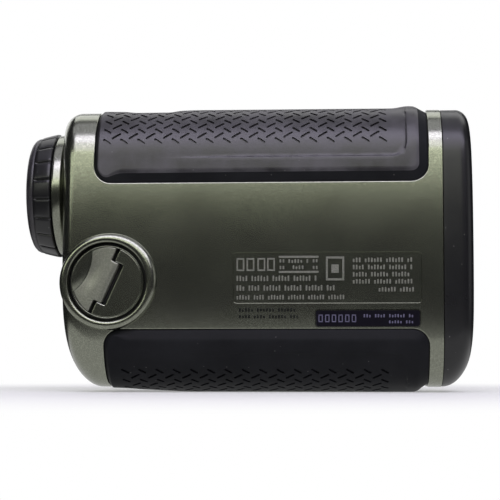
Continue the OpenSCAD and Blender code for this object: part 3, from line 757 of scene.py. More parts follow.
def lanyard_pocket(skin):
    """Adds the pocket behind the lanyard bar, and returns the hole that it needs."""
    x, z = LANYARD[0], LANYARD[2]
    pocket = rounded(x - 3.6, z - 3.4, x + 3.6, z + 3.4, 1.5, step=0.8)
    line = side_loop(pocket)
    grown = offset(line, POCKET_EASE)
    top, n0 = lifted(grown, 0.0)
    rim, n1 = lifted(offset(line, 0.1), -0.1)
    edge = skin_points(line, -0.4)
    ground = np.stack([pocket[:, 0], 0 * pocket[:, 0] + 14.5, pocket[:, 1]], -1)
    skin.strips([top, rim], [n0, n1])
    skin.strips([rim, edge, ground], faces_to=(x, 17, z))
    skin.disc(ground, faces_to=(x, 30, z))
    return grown


def shell_lines():
    """Grid lines of the paint: close together round the corners, wider on the flats."""
    lines_u = np.concatenate([np.arange(U_END + 0.5, U_FLAT, 0.55), np.arange(U_FLAT, -35, 0.9),
                              np.arange(-34, SEAM, 1.7)])
    lines_s = np.concatenate([np.arange(1, BREAKS[1], 1.5), np.arange(BREAKS[1], BREAKS[2], 0.8),
                              np.arange(BREAKS[2] + 1, BREAKS[3], 1.7),
                              np.arange(BREAKS[3], BREAKS[4], 0.8), np.arange(BREAKS[4] + 1, LOOP, 1.5)])
    return lines_u, lines_s


def shell_border(lines_u, lines_s, seats):
    """The paint's outline in (u, s), without points where the seats of the grips cross it."""
    border = [(u, LOW_LINE) for u in [U_END, *lines_u]]
    border += [(FRONT_LINE, s) for s in [LOW_LINE, *lines_s]]
    border += [(u, HIGH_LINE) for u in [FRONT_LINE, *lines_u[::-1]]]
    border += [(U_END, s) for s in [HIGH_LINE, *lines_s[::-1]]]
    border = np.array(border)
    for seat, s in zip(seats, (HIGH_LINE, LOW_LINE)):
        along = (border[:, 0] > seat[0, 0]) & (border[:, 0] < seat[-1, 0])
        border = border[~(along & (np.abs(border[:, 1] - s) < 1e-6))]
    return border


def front_lip(skin):
    """Rolls the paint's front edge in towards the bezel."""
    s = np.linspace(LOW_LINE, HIGH_LINE, 120)
    lip = np.stack([0 * s + FRONT_LINE, s], -1)
    bent = np.stack([0 * s + SEAM - 0.02, s], -1)
    a, na = lifted(lip, 0.0)
    b, nb = lifted(bent, -0.12)
    skin.strips([a, b], [na, nb], closed=False)
    skin.strips([b, skin_points(bent, -1.6)], closed=False)


def rear_face(skin, lines_s):
    """Closes the rear, round the eyepiece."""
    s = np.array([LOW_LINE, *lines_s, HIGH_LINE])
    rim = raw_body(np.full(len(s), U_END), s)
    t = np.linspace(-math.pi / 2, math.pi / 2, 28)
    hole = np.stack([NECK_HOLE * np.cos(t), SIGHT + NECK_HOLE * np.sin(t)], -1)
    hole[[0, -1], 0] = 0.05
    loop = np.concatenate([rim[:, 1:], hole[::-1]])
    points = open_area(loop, [], grid(np.arange(0.5, 16, 1.2), np.arange(20, 66, 1.2)), 0.5)
    v, f = triangulate(loop, [], points)
    face = np.stack([REAR + v[:, 0] ** 2 / (2 * BOW), v[:, 0], v[:, 1]], -1)
    skin.add(face, f, np.stack([-np.ones(len(v)), v[:, 0] / BOW, 0 * v[:, 0]], -1))


def paint_half(right):
    """The painted skin of one half. It's drawn on the left, and mirrored for the right."""
    skin = Skin()
    seats = []
    for top in (True, False):
        grown = seat_outline(top, SEAT_EASE)
        chamfered_opening(skin, grown, seat_outline(top), 1.1)
        seats.append(np.clip(grown, [-99, LOW_LINE], [99, HIGH_LINE]))
    holes = list(seats)
    if right:
        holes.append(side_loop(ring(BATTERY[0], BATTERY[2], BOSS_HOLE)))
        holes.append(sunk_panel(skin, PANEL, 0.25))
        holes.append(sunk_panel(skin, RECESS, 0.24))
    else:
        holes.append(side_loop(ring(MODE[0], MODE[2], MODE_HOLE)))
        holes.append(lanyard_pocket(skin))
    lines_u, lines_s = shell_lines()
    outer = np.array([(U_END, LOW_LINE), (FRONT_LINE, LOW_LINE), (FRONT_LINE, HIGH_LINE),
                      (U_END, HIGH_LINE)])
    points = open_area(outer, holes, grid(lines_u, lines_s), 0.35)
    v, f = triangulate(shell_border(lines_u, lines_s, seats), holes, points)
    p, n = lifted(v, 0.0)
    skin.add(p, f, n)
    front_lip(skin)
    rear_face(skin, lines_s)
    return skin.mirror_y() if right else skin


for side, right in (("right", True), ("left", False)):
    finish_mesh(side + "_shell", paint_half(right), "olive_paint", "device",
                [side + "_housing"])


# ---------------------------------------------------------------- rubber grips

# side view outlines of the top grip's crest and of the bottom grip's keel
CREST = np.array([(-37, 69.7), (-30.1, 69.5), (-27.6, 68.9), (-18.6, 68.95), (-17.2, 69.7), (-13.2, 69.9),
                  (-0.8, 69.85), (36, 69.75), (38.2, 70.35), (39.7, 70.5), (41.2, 70.35), (43, 69.7),
                  (44, 69.5)])
KEEL = np.array([(-35, 1.35), (-26, 0.55), (-15, 0), (41, 0), (42.8, 0.6), (44, 1.6)])
# the grip's rounded edge: share of its width, and drop below the face; the first rows turn down and out, and
# wear the darker, duller copy of the rubber as painted shade
EDGE_ROWS = [(0.0, 3.0), (0.0, 1.3), (0.03, 1.12), (0.1, 0.98), (0.22, 0.84), (0.4, 0.62), (0.58, 0.4),
             (0.74, 0.21), (0.87, 0.08), (1.0, 0.01), (1.12, 0.0)]
# number of edge rows that wear the darker rubber copy, as painted shade
SIDE_ROWS = 8


def eased(line, x):
    """Height of a polyline at x, with its corners rounded."""
    near = [np.interp(x + d, line[:, 0], line[:, 1]) for d in (-0.9, -0.45, 0, 0.45, 0.9)]
    return np.mean(near, 0)


def groove(x, v, slope, length, width=0.58):
    """A slot with round ends, as a loop in (x, v)."""
    a = math.radians(slope)
    t = np.linspace(-math.pi / 2, math.pi / 2, 4)
    end = length / 2 - width / 2
    right = np.stack([end + width / 2 * np.cos(t), width / 2 * np.sin(t)], -1)
    right = np.concatenate([[(-0.33 * end, -width / 2), (0.33 * end, -width / 2)], right])
    turn = np.array([[math.cos(a), math.sin(a)], [-math.sin(a), math.cos(a)]])
    return np.concatenate([right, -right]) @ turn + [x, v]


class Grip:
    """A rubber saddle, drawn in (x, v). v is measured from the middle line, and is positive on the right."""

    def __init__(self, top):
        self.top = top
        self.x0, self.x1 = (TOP_X0 if top else LOW_X0), GRIP_X1
        self.reach = LOOP - S_TOP_SEAT if top else S_LOW_SEAT
        # inner panel, framed by a low step
        self.panel_x = 38.6
        self.panel_v = self.reach - (5.9 if top else 5.6)
        # the hole for the key or the tripod insert
        self.hole_x, self.hole_r = (POWER[0], 4.75) if top else (SOCKET[0], 5.6)

    def height(self, x, v):
        """How far the rubber stands out of the body's skin."""
        a = np.abs(v)
        if self.top:
            spine = eased(CREST, x) - TOP
            h = spine + (PROUD - spine) * smooth((a - 5) / 9)
            step, near = 0.42, 3
            front = smooth((x - 34) / 3) * smooth((14 - a) / 6)
        else:
            spine = BASE - eased(KEEL, x)
            h = spine + (PROUD - spine) * smooth((a - 5.3) / 5)
            step, near, front = 0.25, 7, 0
        fade = smooth((x + 22) / 26)
        out = box_distance(x, a, -300, -300, self.panel_x, self.panel_v, 3.2)
        return h + step * smooth((out + 0.22) / 0.44) * (fade * (1 - front)) * smooth((a - near) / 4)

    def place(self, x, v, h):
        s = np.abs(v)
        p, _ = body(u_of(x), LOOP - s if self.top else s, h)
        return p * np.stack([np.ones_like(s), np.where(v > 0, -1.0, 1.0), np.ones_like(s)], -1)

    def on_face(self, q, lift=0.0):
        """Lays a drawing in (x, v) on the rubber's face, lifted by lift."""
        return self.place(q[:, 0], q[:, 1], self.height(q[:, 0], q[:, 1]) + lift)

    def sink(self, x):
        """Width of the rounded edge: narrow at the rear, broad along the sides and the front."""
        return 1.0 + 1.9 * smooth((x - self.x0 - 1) / 6)

    def tread(self):
        """Rows of short grooves, leaning one way and then the other."""
        if self.top:
            rows, first, pitch_v, start, columns = 33, 22.06, 1.379, -33.5, 17
            lean, clear = 1, 6.3
        else:
            rows, first, pitch_v, start, columns = 21, 16.5, 1.65, -29.1, 16
            lean, clear = -1, 8
        grooves = []
        for k in range(rows):
            even = k % 2 == 0
            for c in range(columns if even else columns - 1):
                x = start + 4.16 * c + (0 if even else 2.25)
                v = first - pitch_v * k
                if math.hypot(x - self.hole_x, v) >= clear:
                    grooves.append(groove(x, v, lean * (34 if even else -33), 2.3 if even else 2.7))
        return grooves

    def rolled_edge(self, skin):
        """The rounded border, from the seat up to the face; returns its inner line."""
        outline = rounded(self.x0, -self.reach, self.x1, self.reach, SEAT_R, step=1.1, arc=8)
        loops = []
        for share, drop in EDGE_ROWS:
            inner = offset(outline, -self.sink(outline[:, 0]) * share - 0.02)
            full = self.height(inner[:, 0], inner[:, 1])
            loops.append(self.place(inner[:, 0], inner[:, 1], np.maximum(full - drop, -0.9)))
        skin.strips(loops[:SIDE_ROWS])
        # the faces made so far turn down and out, and wear the darker rubber copy as painted shade
        self.painted_shade_faces = len(skin.f)
        skin.strips(loops[SIDE_ROWS - 1:])
        return inner

    def well(self, skin, edge):
        """Wall of the round hole."""
        rims = []
        for inset, lift in ((0, 0.0), (0.25, -0.12), (0.38, -0.4), (0.4, -2.2 if self.top else -2.1)):
            rims.append(self.on_face(ring(self.hole_x, 0, self.hole_r - inset, len(edge)), lift))
        skin.strips(rims, faces_to=np.mean(rims[0], 0))

    def face_points(self):
        """Points of the face: an even grid, and close lines along the panel's step."""
        close = np.array([-0.32, -0.14, 0.0, 0.14, 0.32])
        along = np.arange(self.x0 + 2, self.x1 - 2, 0.8)
        across = np.arange(-self.reach + 4, self.reach - 4, 0.8)
        even = grid(np.arange(self.x0, self.x1, 0.95), np.arange(-self.reach, self.reach, 0.95))
        lines = [grid(along, side * (self.panel_v + close)) for side in (-1, 1)]
        return np.concatenate([even, *lines, grid(self.panel_x + close, across)])

    def cut_groove(self, skin, q):
        """Walls and floor of one groove."""
        c = q.mean(0)
        rims = []
        for shrink, lift in ((1.0, 0.0), (0.97, -0.1), (0.88, -0.5)):
            rims.append(self.on_face(c + (q - c) * shrink, lift))
        above = self.place(c[:1], c[1:], np.array([6.0]))[0]
        skin.strips(rims, faces_to=rims[0].mean(0))
        skin.add(rims[-1], [tuple(range(len(q)))], None, faces_to=above)

    def build(self):
        skin = Skin()
        inner = self.rolled_edge(skin)
        grooves = self.tread()
        edge = ring(self.hole_x, 0, self.hole_r, 36 if self.top else 40)
        self.well(skin, edge)
        holes = grooves + [edge]
        v, f = triangulate(inner, holes, open_area(inner, holes, self.face_points(), 0.33))
        skin.add(self.on_face(v), f)
        for q in grooves:
            self.cut_groove(skin, q)
        return skin


# the top grip wears the lighter rubber copy as painted light, and the bottom grip wears the darker copy as
# painted shade
for name, finish in (("top_grip", "grip_rubber"), ("bottom_grip", "painted_shade_rubber")):
    grip = Grip(name == "top_grip")
    skin = grip.build()
    finish_mesh(name + "_rubber", skin, finish, "device", [name],
                ("painted_shade_rubber", grip.painted_shade_faces))


# ---------------------------------------------------------------- front bezel

# length and height of the upward sweep under the nose, and radius of the front edge
NOSE_W, NOSE_H, FRONT_R = 7.2, 9.2, 3.0
# height, mouth radius and inner radius of each hood
HOODS = [(SIGHT, 13.3, 12.0), (RECEIVER, 11.0, 10.2)]


def nose_bow(x, z):
    """How far the front bows back towards its top and bottom."""
    return 0.5 * (np.abs(z - MID) / 31) ** 3 * smooth((x - SEAM) / (FRONT - SEAM))


def bezel_loop(x, inset, steps):
    """Closed cross-section of the bezel."""
    s = np.concatenate([np.linspace(0, BREAKS[1], 5)[:-1], np.linspace(BREAKS[1], BREAKS[2], steps)[:-1],
                        np.linspace(BREAKS[2], BREAKS[3], 24)[:-1],
                        np.linspace(BREAKS[3], BREAKS[4], steps)[:-1], np.linspace(BREAKS[4], LOOP, 5)])
    q = np.clip((x - FRONT + NOSE_W) / NOSE_W, 0, 1)
    zb = BASE + 0.1 + NOSE_H * (1 - math.sqrt(1 - q * q))
    y, z = section(s, zb, TOP - 0.1 - inset, HALF - 0.1 - inset, EDGE - inset)
    half = np.stack([x - nose_bow(x, z), y, z], -1)
    return np.concatenate([half, (half * [1, -1, 1])[-2:0:-1]])


def bezel():
    skin = Skin()
    rows = [(SEAM + 0.12, 1.2), (SEAM + 0.12, 0.14), (SEAM + 0.2, 0.04), (SEAM + 0.35, 0.0)]
    rows += [(x, 0.0) for x in np.linspace(SEAM + 1, FRONT - FRONT_R, 6)]
    rows += [(FRONT - FRONT_R + FRONT_R * math.sin(a), FRONT_R * (1 - math.cos(a)))
             for a in np.linspace(0, math.pi / 2, 9)[1:]]
    loops = [bezel_loop(x, inset, 18) for x, inset in rows]
    skin.strips(loops)
    outline = loops[-1][:, 1:]
    holes = [ring(0, z, r + 0.35, 72) for z, r, _ in HOODS]
    points = open_area(outline, holes, grid(np.arange(-18, 18.1, 1.6), np.arange(2, 68, 1.6)), 0.7)
    v, f = triangulate(outline, holes, points)
    face = np.stack([FRONT - nose_bow(FRONT, v[:, 1]), v[:, 0], v[:, 1]], -1)
    skin.add(face, f, None, faces_to=(999, 0, MID))
    for z, r, deep in HOODS:
        q = ring(0, z, 1, 72)
        rims = []
        for radius, x in ((r + 0.35, FRONT), (r + 0.12, FRONT - 0.06), (r, FRONT - 0.32), (deep, 49.7),
                          (deep, 49.2)):
            yz = np.stack([q[:, 0] * radius, z + (q[:, 1] - z) * radius], -1)
            rims.append(np.stack([x - nose_bow(x, yz[:, 1]), yz[:, 0], yz[:, 1]], -1))
        skin.strips(rims, faces_to=(60, 0, z))
    return skin


finish_mesh("bezel_shell", bezel(), "black_plastic", "device", ["front_bezel"])


# ---------------------------------------------------------------- turned parts

X_AXIS, Y_AXIS, Z_AXIS = (1, 0, 0), (0, 1, 0), (0, 0, 1)


def turned(name, profile, centre, axis, body_name, slot, stands_for=(), n=96, shape=None):
    """A lathed piece from (radius, place along the axis) pairs; n is a count or a list of angles.

    shape(radius, angles, row), if given, changes the radius.
    """
    axis = np.array(axis, float)
    side = np.array([1.0, 0, 0]) if abs(axis[0]) < 0.9 else np.array([0, 1.0, 0])
    up = np.cross(axis, side)
    angles = np.arange(n) * 2 * math.pi / n if np.isscalar(n) else np.asarray(n)
    c, s = np.cos(angles)[:, None], np.sin(angles)[:, None]
    loops = []
    for row, (r, a) in enumerate(profile):
        radius = np.full(len(angles), float(r))
        if shape:
            radius = shape(radius, angles, row)
        loops.append(np.array(centre, float) + axis * a + radius[:, None] * (c * side + s * up))
    skin = Skin()
    skin.strips(loops)
    finish_mesh(name, skin, slot, body_name, stands_for)


COLLAR = [(12.3, -43.5), (12.3, -47.75), (12.45, -47.9), (14.85, -47.9), (15.15, -47.8),
          (15.27, -47.55), (15.3, -47.2), (15.3, -45.85), (15.2, -45.6), (14.9, -45.45), (13.3, -45.35),
          (13.3, -42.5)]
RING = [(11.6, -52.95), (12.6, -53.1), (13.5, -53.05), (14.1, -52.85), (14.5, -52.5), (14.72, -52.1),
        (14.85, -51.7), (14.93, -51.4), (15.0, -51.1), (15.28, -50.0), (15.5, -49.0), (15.58, -48.5),
        (15.55, -48.25), (15.4, -48.12), (12.4, -48.1)]
# rows of the ring that its notches cross, their count, the angle of the first, and their depth
NOTCHED_ROWS, NOTCHES, NOTCH_PHASE, NOTCH_DEPTH = range(6, 14), 20, 9, 0.42
EYECUP = [(14.3, -52.4), (14.52, -52.6), (14.45, -53.0), (14.15, -53.6), (13.6, -54.1), (12.9, -54.4),
          (12.1, -54.5), (11.2, -54.42), (10.4, -54.15), (9.8, -53.7), (9.45, -53.1), (9.4, -52.4)]
# radius, place, and share of the flare, which runs towards the upper front
BOSS = [(11.62, -11.5, 1), (11.62, -18.2, 1), (11.6, -18.9, 0.95), (11.52, -19.5, 0.8),
        (11.36, -19.95, 0.5), (11.12, -20.27, 0.2), (10.8, -20.44, 0.05), (10.4, -20.5, 0),
        (10.0, -20.48, 0), (9.75, -20.42, 0), (9.6, -20.3, 0), (9.53, -20.1, 0), (9.5, -19.6, 0),
        (9.5, -13.2, 0)]
FLARE, FLARE_ANGLE = 0.75, 35
MODE_RING = [(6.05, 17.5), (6.0, 19.7), (5.9, 20.1), (5.65, 20.38), (5.3, 20.5), (4.9, 20.44),
             (4.55, 20.2), (4.34, 19.8), (4.3, 15.6)]
MODE_CAP = [(0.0, 20.3), (0.9, 20.31), (1.9, 20.34), (2.15, 20.2), (2.4, 20.2), (2.6, 20.42),
            (3.2, 20.36), (3.65, 20.15), (3.92, 19.8), (4.0, 19.3), (4.0, 16.7), (5, 16.7), (5, 16.35)]
POWER_CAP = [(0.0, 69.45), (1.0, 69.46), (1.9, 69.5), (2.1, 69.38), (2.35, 69.38), (2.55, 69.56),
             (3.2, 69.42), (3.65, 69.2), (3.92, 68.85), (4.0, 68.4), (4.0, 66.8), (5, 66.8), (5, 66.0)]
notch_at = np.radians(np.arange(NOTCHES) * 360 / NOTCHES + NOTCH_PHASE)
ring_angles = np.sort(np.concatenate([notch_at + math.radians(d) for d in
                                      (-1.2, -0.95, -0.75, 0, 0.75, 0.95, 1.2, 3.5, 6, 9, 12, 14.5)]))


def notch(radius, angles, row):
    gap = np.abs((angles[:, None] - notch_at[None] + math.pi) % (2 * math.pi) - math.pi).min(1)
    depth = NOTCH_DEPTH * (1 - smooth((np.degrees(gap) - 0.72) / 0.3))
    return radius - depth * (row in NOTCHED_ROWS)


def flare(radius, angles, row):
    toward = np.cos(angles + math.radians(FLARE_ANGLE))
    return radius + FLARE * BOSS[row][2] * np.maximum(0, toward) ** 2


eye_centre, cap_centre, mode_centre = (0, 0, SIGHT), (BATTERY[0], 0, BATTERY[2]), (MODE[0], 0, MODE[2])
turned("collar", COLLAR, eye_centre, X_AXIS, "device", "olive_paint", ["eyepiece_collar"], 128)
turned("dioptre_grip", RING, eye_centre, X_AXIS, "eyepiece_ring", "black_plastic", ["dioptre_ring"],
       ring_angles, notch)
# the eyecup wears the lighter rubber copy, as painted light
turned("eye_rubber", EYECUP, eye_centre, X_AXIS, "eyepiece_ring", "grip_rubber", ["eyecup"], 128)
turned("battery_boss", [(r, y) for r, y, _ in BOSS], cap_centre, Y_AXIS, "device", "olive_paint", (),
       128, flare)
turned("mode_ring", MODE_RING, mode_centre, Y_AXIS, "device", "olive_paint")
turned("mode_cap", MODE_CAP, mode_centre, Y_AXIS, "mode_key", "button_rubber", ["mode_button"], 64)
turned("power_cap", POWER_CAP, (POWER[0], 0, 0), Z_AXIS, "power_key", "button_rubber",
       ["power_button"], 64)


# ---------------------------------------------------------------- battery cap and its tab

# the cap is drawn in (v, u) round its axis, with u leaning forwards from upright by TURN
TURN = math.radians(24.4)
CAP_TOP = np.array([BATTERY[0], span("battery_cap")[0][1], BATTERY[2]])
CAP_U = np.array([math.sin(TURN), 0, math.cos(TURN)])
CAP_V = np.array([math.cos(TURN), 0, -math.sin(TURN)])
# far points that faces look at, outside and inside the cap
OUTSIDE, INSIDE = CAP_TOP - [0, 99, 0], CAP_TOP + [0, 99, 0]
# tab: half width and far edge of the knuckle, v where its round part begins, and its radius
KNUCKLE, TAB_BACK, TAB_EDGE, TAB_R = 5.15, 0.9, -1.25, 8.45
# scoop: centre and radius of the tab's hollow end, which follows it, and radius of its wall
SCOOP_V, SCOOP_R = -16.6, 11.4
WALL_R = SCOOP_R - 0.1
# raised half: radius, v of its straight edge, and half width of the slot for the knuckle
FACE_R, FACE_EDGE, SLOT_SIDE = 8.5, -0.4, 5.32
# depths of the raised half and of the pocket under the tab
FACE_DEPTH, POCKET_DEPTH = 0.12, 2.4
THREAD_LEAD, THREAD_DEPTH = 2.1, 0.36
# radius and depth of each turned row; the middle ones carry the thread
CAP_ROWS = [(8.5, 0.12), (8.53, 0.03), (8.6, 0.0), (8.68, 0.02), (8.76, 0.1), (8.8, 0.24), (8.8, 2.15),
            (8.7, 2.3), (8.55, 2.32), (8.55, 2.7), (7.4, 2.7), (7.4, 4.0), (8.5, 4.0), (8.55, 4.05)]
CAP_ROWS += [(8.55, depth) for depth in np.arange(4.16, 6.0, 0.13)]
CAP_ROWS += [(8.5, 6.05), (8.4, 6.1), (1.6, 6.1), (1.6, 3.95), (0.01, 3.95)]
NO_POINTS = np.zeros((0, 2))


def on_cap(p, w):
    """Lays a drawing in (v, u) on the cap, at depth w under its face."""
    depth = np.broadcast_to(np.asarray(w, float), len(p))
    return CAP_TOP + p[:, :1] * CAP_V + p[:, 1:] * CAP_U + depth[:, None] * [0, 1.0, 0]


def fill(skin, outline, points, depth, faces_to=OUTSIDE):
    """Fills an outline on the cap; depth is a number or a function of the points."""
    v, f = triangulate(outline, [], points)
    w = depth(v) if callable(depth) else depth
    skin.add(on_cap(v, w), f, None, faces_to=faces_to)


def arc_points(cv, r, a0, a1, count):
    """Points on an arc round (cv, 0), from one angle in degrees to the other."""
    a = np.radians(np.linspace(a0, a1, count))
    return np.array([(cv + r * math.cos(t), r * math.sin(t)) for t in a])


def crossing_v(r, scoop_r):
    """The v at which a circle round the cap's axis crosses the scoop's arc."""
    return -(r ** 2 + SCOOP_V ** 2 - scoop_r ** 2) / (2 * -SCOOP_V)


# angles at which the face's circle meets the raised half's straight edge and the scoop's wall
FACE_REACH = math.degrees(math.acos(FACE_EDGE / FACE_R))
SCOOP_MEET = math.degrees(math.acos(crossing_v(FACE_R, WALL_R) / FACE_R))


def softened(points, radii, step=0.5):
    """Closed outline with rounded corners, cut into short edges; starts on a straight."""
    return cut_short(fillet([*points, points[0]], [*radii, 0])[:-1], step)


def tab_outline():
    """The knuckle, the two round sides, and the hollow end over the scoop."""
    lower = math.degrees(math.acos(-TAB_EDGE / TAB_R))
    meet_v = crossing_v(TAB_R, SCOOP_R)
    meet_u = math.sqrt(TAB_R ** 2 - meet_v ** 2)
    start, end = 180 - lower, math.degrees(math.atan2(meet_u, meet_v))
    sweep = math.degrees(math.asin(meet_u / SCOOP_R))
    rim = arc_points(0, TAB_R, start, end, 12)
    back = arc_points(0, TAB_R, -end, -start, 12)
    hollow = arc_points(SCOOP_V, SCOOP_R, sweep, -sweep, 24)
    points = [(TAB_BACK, 0), (TAB_BACK, KNUCKLE), (TAB_EDGE, KNUCKLE), *rim, *hollow[1:-1], *back,
              (TAB_EDGE, -KNUCKLE), (TAB_BACK, -KNUCKLE)]
    radii = [0, 0.45, 0.45, 0.5, *[0] * 10, 1.2, *[0] * 22, 1.2, *[0] * 10, 0.5, 0.45, 0.45]
    return softened(points, radii)


def tab_face(p):
    """Depth of the tab's face: it leans in towards its free end and rolls over at the knuckle."""
    v, u = p[:, 0], p[:, 1]
    lean = 0.05 * (TAB_BACK - v)
    roll = 0.95 - np.sqrt(np.maximum(0.9025 - np.clip(v + 0.05, 0, 0.94) ** 2, 0.0))
    hollow = 0.35 * np.exp(-((v + 4.4) / 1.6) ** 2 - (u / 3.6) ** 2)
    return lean + hollow + np.where(np.abs(u) < KNUCKLE + 0.01, roll, 0)


def tab_back(p):
    """Depth of the tab's underside."""
    return np.maximum(1.7, tab_face(p) + 0.5)


def cap_tab():
    outline = tab_outline()
    loops = []
    for inset, w in ((0.30, 0.0), (0.10, 0.035), (0.02, 0.12), (0.0, 0.26)):
        line = offset(outline, -inset)
        loops.append(on_cap(line, tab_face(line) + w))
    low, under = tab_back(outline), offset(outline, -0.12)
    loops += [on_cap(outline, low - 0.12), on_cap(under, low)]
    skin = Skin()
    skin.strips(loops)
    inner = offset(outline, -0.30)
    points = open_area(inner, [], grid(np.arange(-8.4, 1, 0.5), np.arange(-8.4, 8.4, 0.6)), 0.3)
    fill(skin, inner, points, tab_face)
    fill(skin, under, NO_POINTS, tab_back, INSIDE)
    return skin


def scoop_floor(p):
    """Depth of the finger scoop, which falls from the rim towards the tab."""
    return 0.2 + 0.5 * ((np.hypot(p[:, 0] - SCOOP_V, p[:, 1]) - 8.1) / 3.2) ** 2


def cap_thread(radius, angles, depth):
    """Cuts the thread into one turned row."""
    if not 4.15 < depth < 6.0:
        return radius
    phase = (depth / THREAD_LEAD + angles / (2 * math.pi)) % 1
    return radius - THREAD_DEPTH * smooth(np.abs(phase - 0.5) * 2.6 - 0.3)


def cap_barrel(skin):
    """The turned part of the cap."""
    angles = np.arange(128) * 2 * math.pi / 128
    loops = []
    for r, depth in CAP_ROWS:
        radius = cap_thread(np.full(128, r), angles, depth)
        loops.append(on_cap(np.stack([radius * np.cos(angles), radius * np.sin(angles)], -1), depth))
    skin.strips(loops)


def raised_half(skin):
    """Adds the raised half of the face, and returns its outline."""
    rim = arc_points(0, FACE_R, -FACE_REACH, FACE_REACH, 60)
    points = [*rim, (FACE_EDGE, SLOT_SIDE), (1.9, SLOT_SIDE), (1.9, -SLOT_SIDE), (FACE_EDGE, -SLOT_SIDE)]
    radii = [0.2, *[0] * 58, 0.2, 0.5, 0.5, 0.5, 0.5]
    outline = softened(points[30:] + points[:30], radii[30:] + radii[:30])
    inner = offset(outline, -0.22)
    skin.strips([on_cap(inner, FACE_DEPTH), on_cap(offset(outline, -0.08), 0.16), on_cap(outline, 0.3),
                 on_cap(outline, 2.6)])
    points = open_area(inner, [], grid(np.arange(-1, 8.5, 1.1), np.arange(-8.4, 8.5, 1.1)), 0.4)
    fill(skin, inner, points, FACE_DEPTH)
    return outline


def finger_scoop(skin):
    """Adds the finger scoop, and returns the arc of its wall under the tab."""
    sweep = math.degrees(math.asin(FACE_R * math.sin(math.radians(SCOOP_MEET)) / WALL_R))
    far = arc_points(0, FACE_R, SCOOP_MEET, 360 - SCOOP_MEET, 30)
    wall = arc_points(SCOOP_V, WALL_R, -sweep, sweep, 30)
    scoop = np.concatenate([far, wall[1:-1]])
    points = open_area(scoop, [], grid(np.arange(-8.4, -5, 0.5), np.arange(-5.5, 5.6, 0.5)), 0.3)
    fill(skin, scoop, points, scoop_floor)
    skin.strips([on_cap(far, FACE_DEPTH), on_cap(far, scoop_floor(far))], closed=False)
    skin.strips([on_cap(wall, scoop_floor(wall)), on_cap(wall, POCKET_DEPTH)], closed=False)
    return wall


def tab_pocket(half, wall):
    """Walls and floor of the pocket under the tab, from the raised half's outline and the scoop's wall."""
    skin = Skin()
    upper = arc_points(0, FACE_R, FACE_REACH - 2, SCOOP_MEET, 16)
    lower = arc_points(0, FACE_R, 360 - SCOOP_MEET, 362 - FACE_REACH, 16)
    for part in (upper, lower):
        skin.strips([on_cap(part, FACE_DEPTH), on_cap(part, POCKET_DEPTH)], closed=False)
    ground = np.concatenate([upper, wall[::-1][1:-1], lower, [(2.2, -5.5), (2.2, 5.5)]])
    fill(skin, ground, NO_POINTS, POCKET_DEPTH)
    slot = half[(np.abs(half[:, 1]) < SLOT_SIDE + 0.4) & (half[:, 0] < 2)]
    slot = slot[np.argsort(-slot[:, 1])] + [-0.02, 0]
    skin.strips([on_cap(slot, 0.45), on_cap(slot, 2.5)], closed=False)
    return skin


cap_skin = Skin()
cap_barrel(cap_skin)
cap_half = raised_half(cap_skin)
cap_wall = finger_scoop(cap_skin)
finish_mesh("cap_body", cap_skin, "olive_paint", "cap", ["battery_cap"])
# the pocket under the tab wears the near-black inner finish as painted shade
finish_mesh("cap_pocket_shade", tab_pocket(cap_half, cap_wall), "inner_black", "cap", turn=False)
finish_mesh("lift_tab", cap_tab(), "tab_paint", "tab", ["cap_tab"])


# ---------------------------------------------------------------- marks

def side_marks(boxes, low, high):
    """Small raised blocks on the right side; boxes are (x0, z0, x1, z1)."""
    skin = Skin()
    shoulder = max(high - 0.04, (low + high) / 2)
    for x0, z0, x1, z1 in boxes:
        corner = min(0.12, 0.45 * (x1 - x0), 0.45 * (z1 - z0))
        line = side_loop(rounded(x0, z0, x1, z1, corner, step=2.5, arc=2))
        top = skin_points(offset(line, -0.05), high)
        skin.strips([skin_points(line, low), skin_points(line, shoulder), top])
        skin.disc(top, faces_to=top.mean(0) + [0, 30, 0])
    return skin.mirror_y()


def ticks(x0, x1, z0, z1, seed, wide=0.42):
    """A line of small upright blocks grouped in runs, with no meaning."""
    made, x, run, left = [], x0, 0, 3 + seed % 4
    while x + wide <= x1:
        tall = z1 if (run * 7 + seed) % 3 else z1 - 0.22 * (z1 - z0)
        made.append((x, z0, x + wide, tall))
        run += 1
        left -= 1
        x += wide + 0.3
        if left == 0:
            x += 0.7
            left = 3 + (run * 5 + seed) % 6
    return made


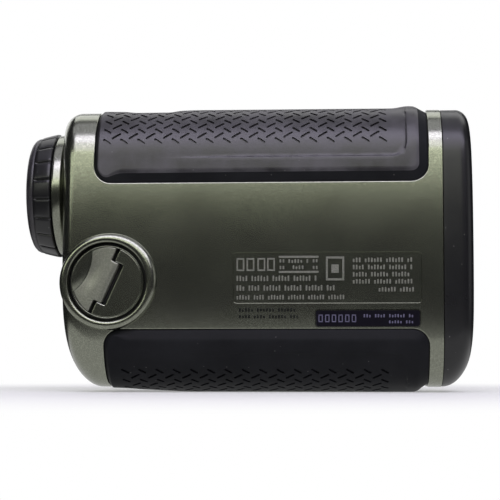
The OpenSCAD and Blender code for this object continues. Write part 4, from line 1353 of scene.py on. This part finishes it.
def frame_boxes(x0, z0, x1, z1, t):
    """Four boxes round a rectangle, as a line of width t."""
    return [(x0, z0, x1, z0 + t), (x0, z1 - t, x1, z1), (x0, z0 + t, x0 + t, z1 - t),
            (x1 - t, z0 + t, x1, z1 - t)]


# raised marks of the sunk panel: frames, bars and lines of ticks
raised = []
for x in (-2.0, 0.4, 3.0, 5.3):
    raised += frame_boxes(x, 28.9, x + 1.9, 32.0, 0.38)
raised += [(8.1, 32.0, 17.6, 32.5), (8.1, 28.4, 17.6, 28.9)]
raised += ticks(10.4, 15.6, 30.8, 31.7, 2) + ticks(11.4, 15.4, 29.3, 30.2, 5)
for x in (8.3, 16.2):
    raised += ticks(x, x + 1.3, 30.9, 31.7, 1) + ticks(x, x + 1.3, 29.3, 30.1, 1)
raised += frame_boxes(19.3, 26.6, 23.7, 32.3, 0.5) + [(20.6, 28.4, 22.4, 30.4)]
raised += ticks(-2.0, 17.5, 26.5, 27.8, 1) + ticks(-2.0, 22.0, 24.2, 25.5, 4)
raised += ticks(-2.0, 25.0, 22.1, 23.2, 6, 0.38)
for k, z in enumerate((30.9, 29.2, 27.5, 25.8)):
    raised += ticks(25.7, 40.4, z, z + 1.1, k)
raised += ticks(31.8, 40.4, 23.9, 25.0, 3)
# the raised marks wear the lighter copy of the body paint, as a painted highlight
finish_mesh("panel_marks", side_marks(raised, -0.27, -0.05), "olive_painted_highlight", "device")
printed = ticks(-1.4, 13.0, 19.2, 20.1, 2) + ticks(-1.4, 13.0, 17.6, 18.5, 5)
finish_mesh("printed_marks", side_marks(printed, -0.02, 0.015), "dark_print", "device")
digits = []
for k in range(6):
    digits += frame_boxes(17.5 + 1.58 * k, 16.7, 18.55 + 1.58 * k, 18.5, 0.24)
digits += ticks(28.2, 40.4, 17.8, 18.6, 4, 0.36) + ticks(34.2, 40.4, 16.4, 17.1, 2, 0.36)
finish_mesh("plate_marks", side_marks(digits, -0.03, 0.0), "pale_print", "device")

slots = {part["node"]: part["material_slot"] for part in frame["record"]["subparts"]}
for name, ob in frame["nodes"].items():
    ob.data.materials.clear()
    ob.data.materials.append(FINISH[slots[name]])
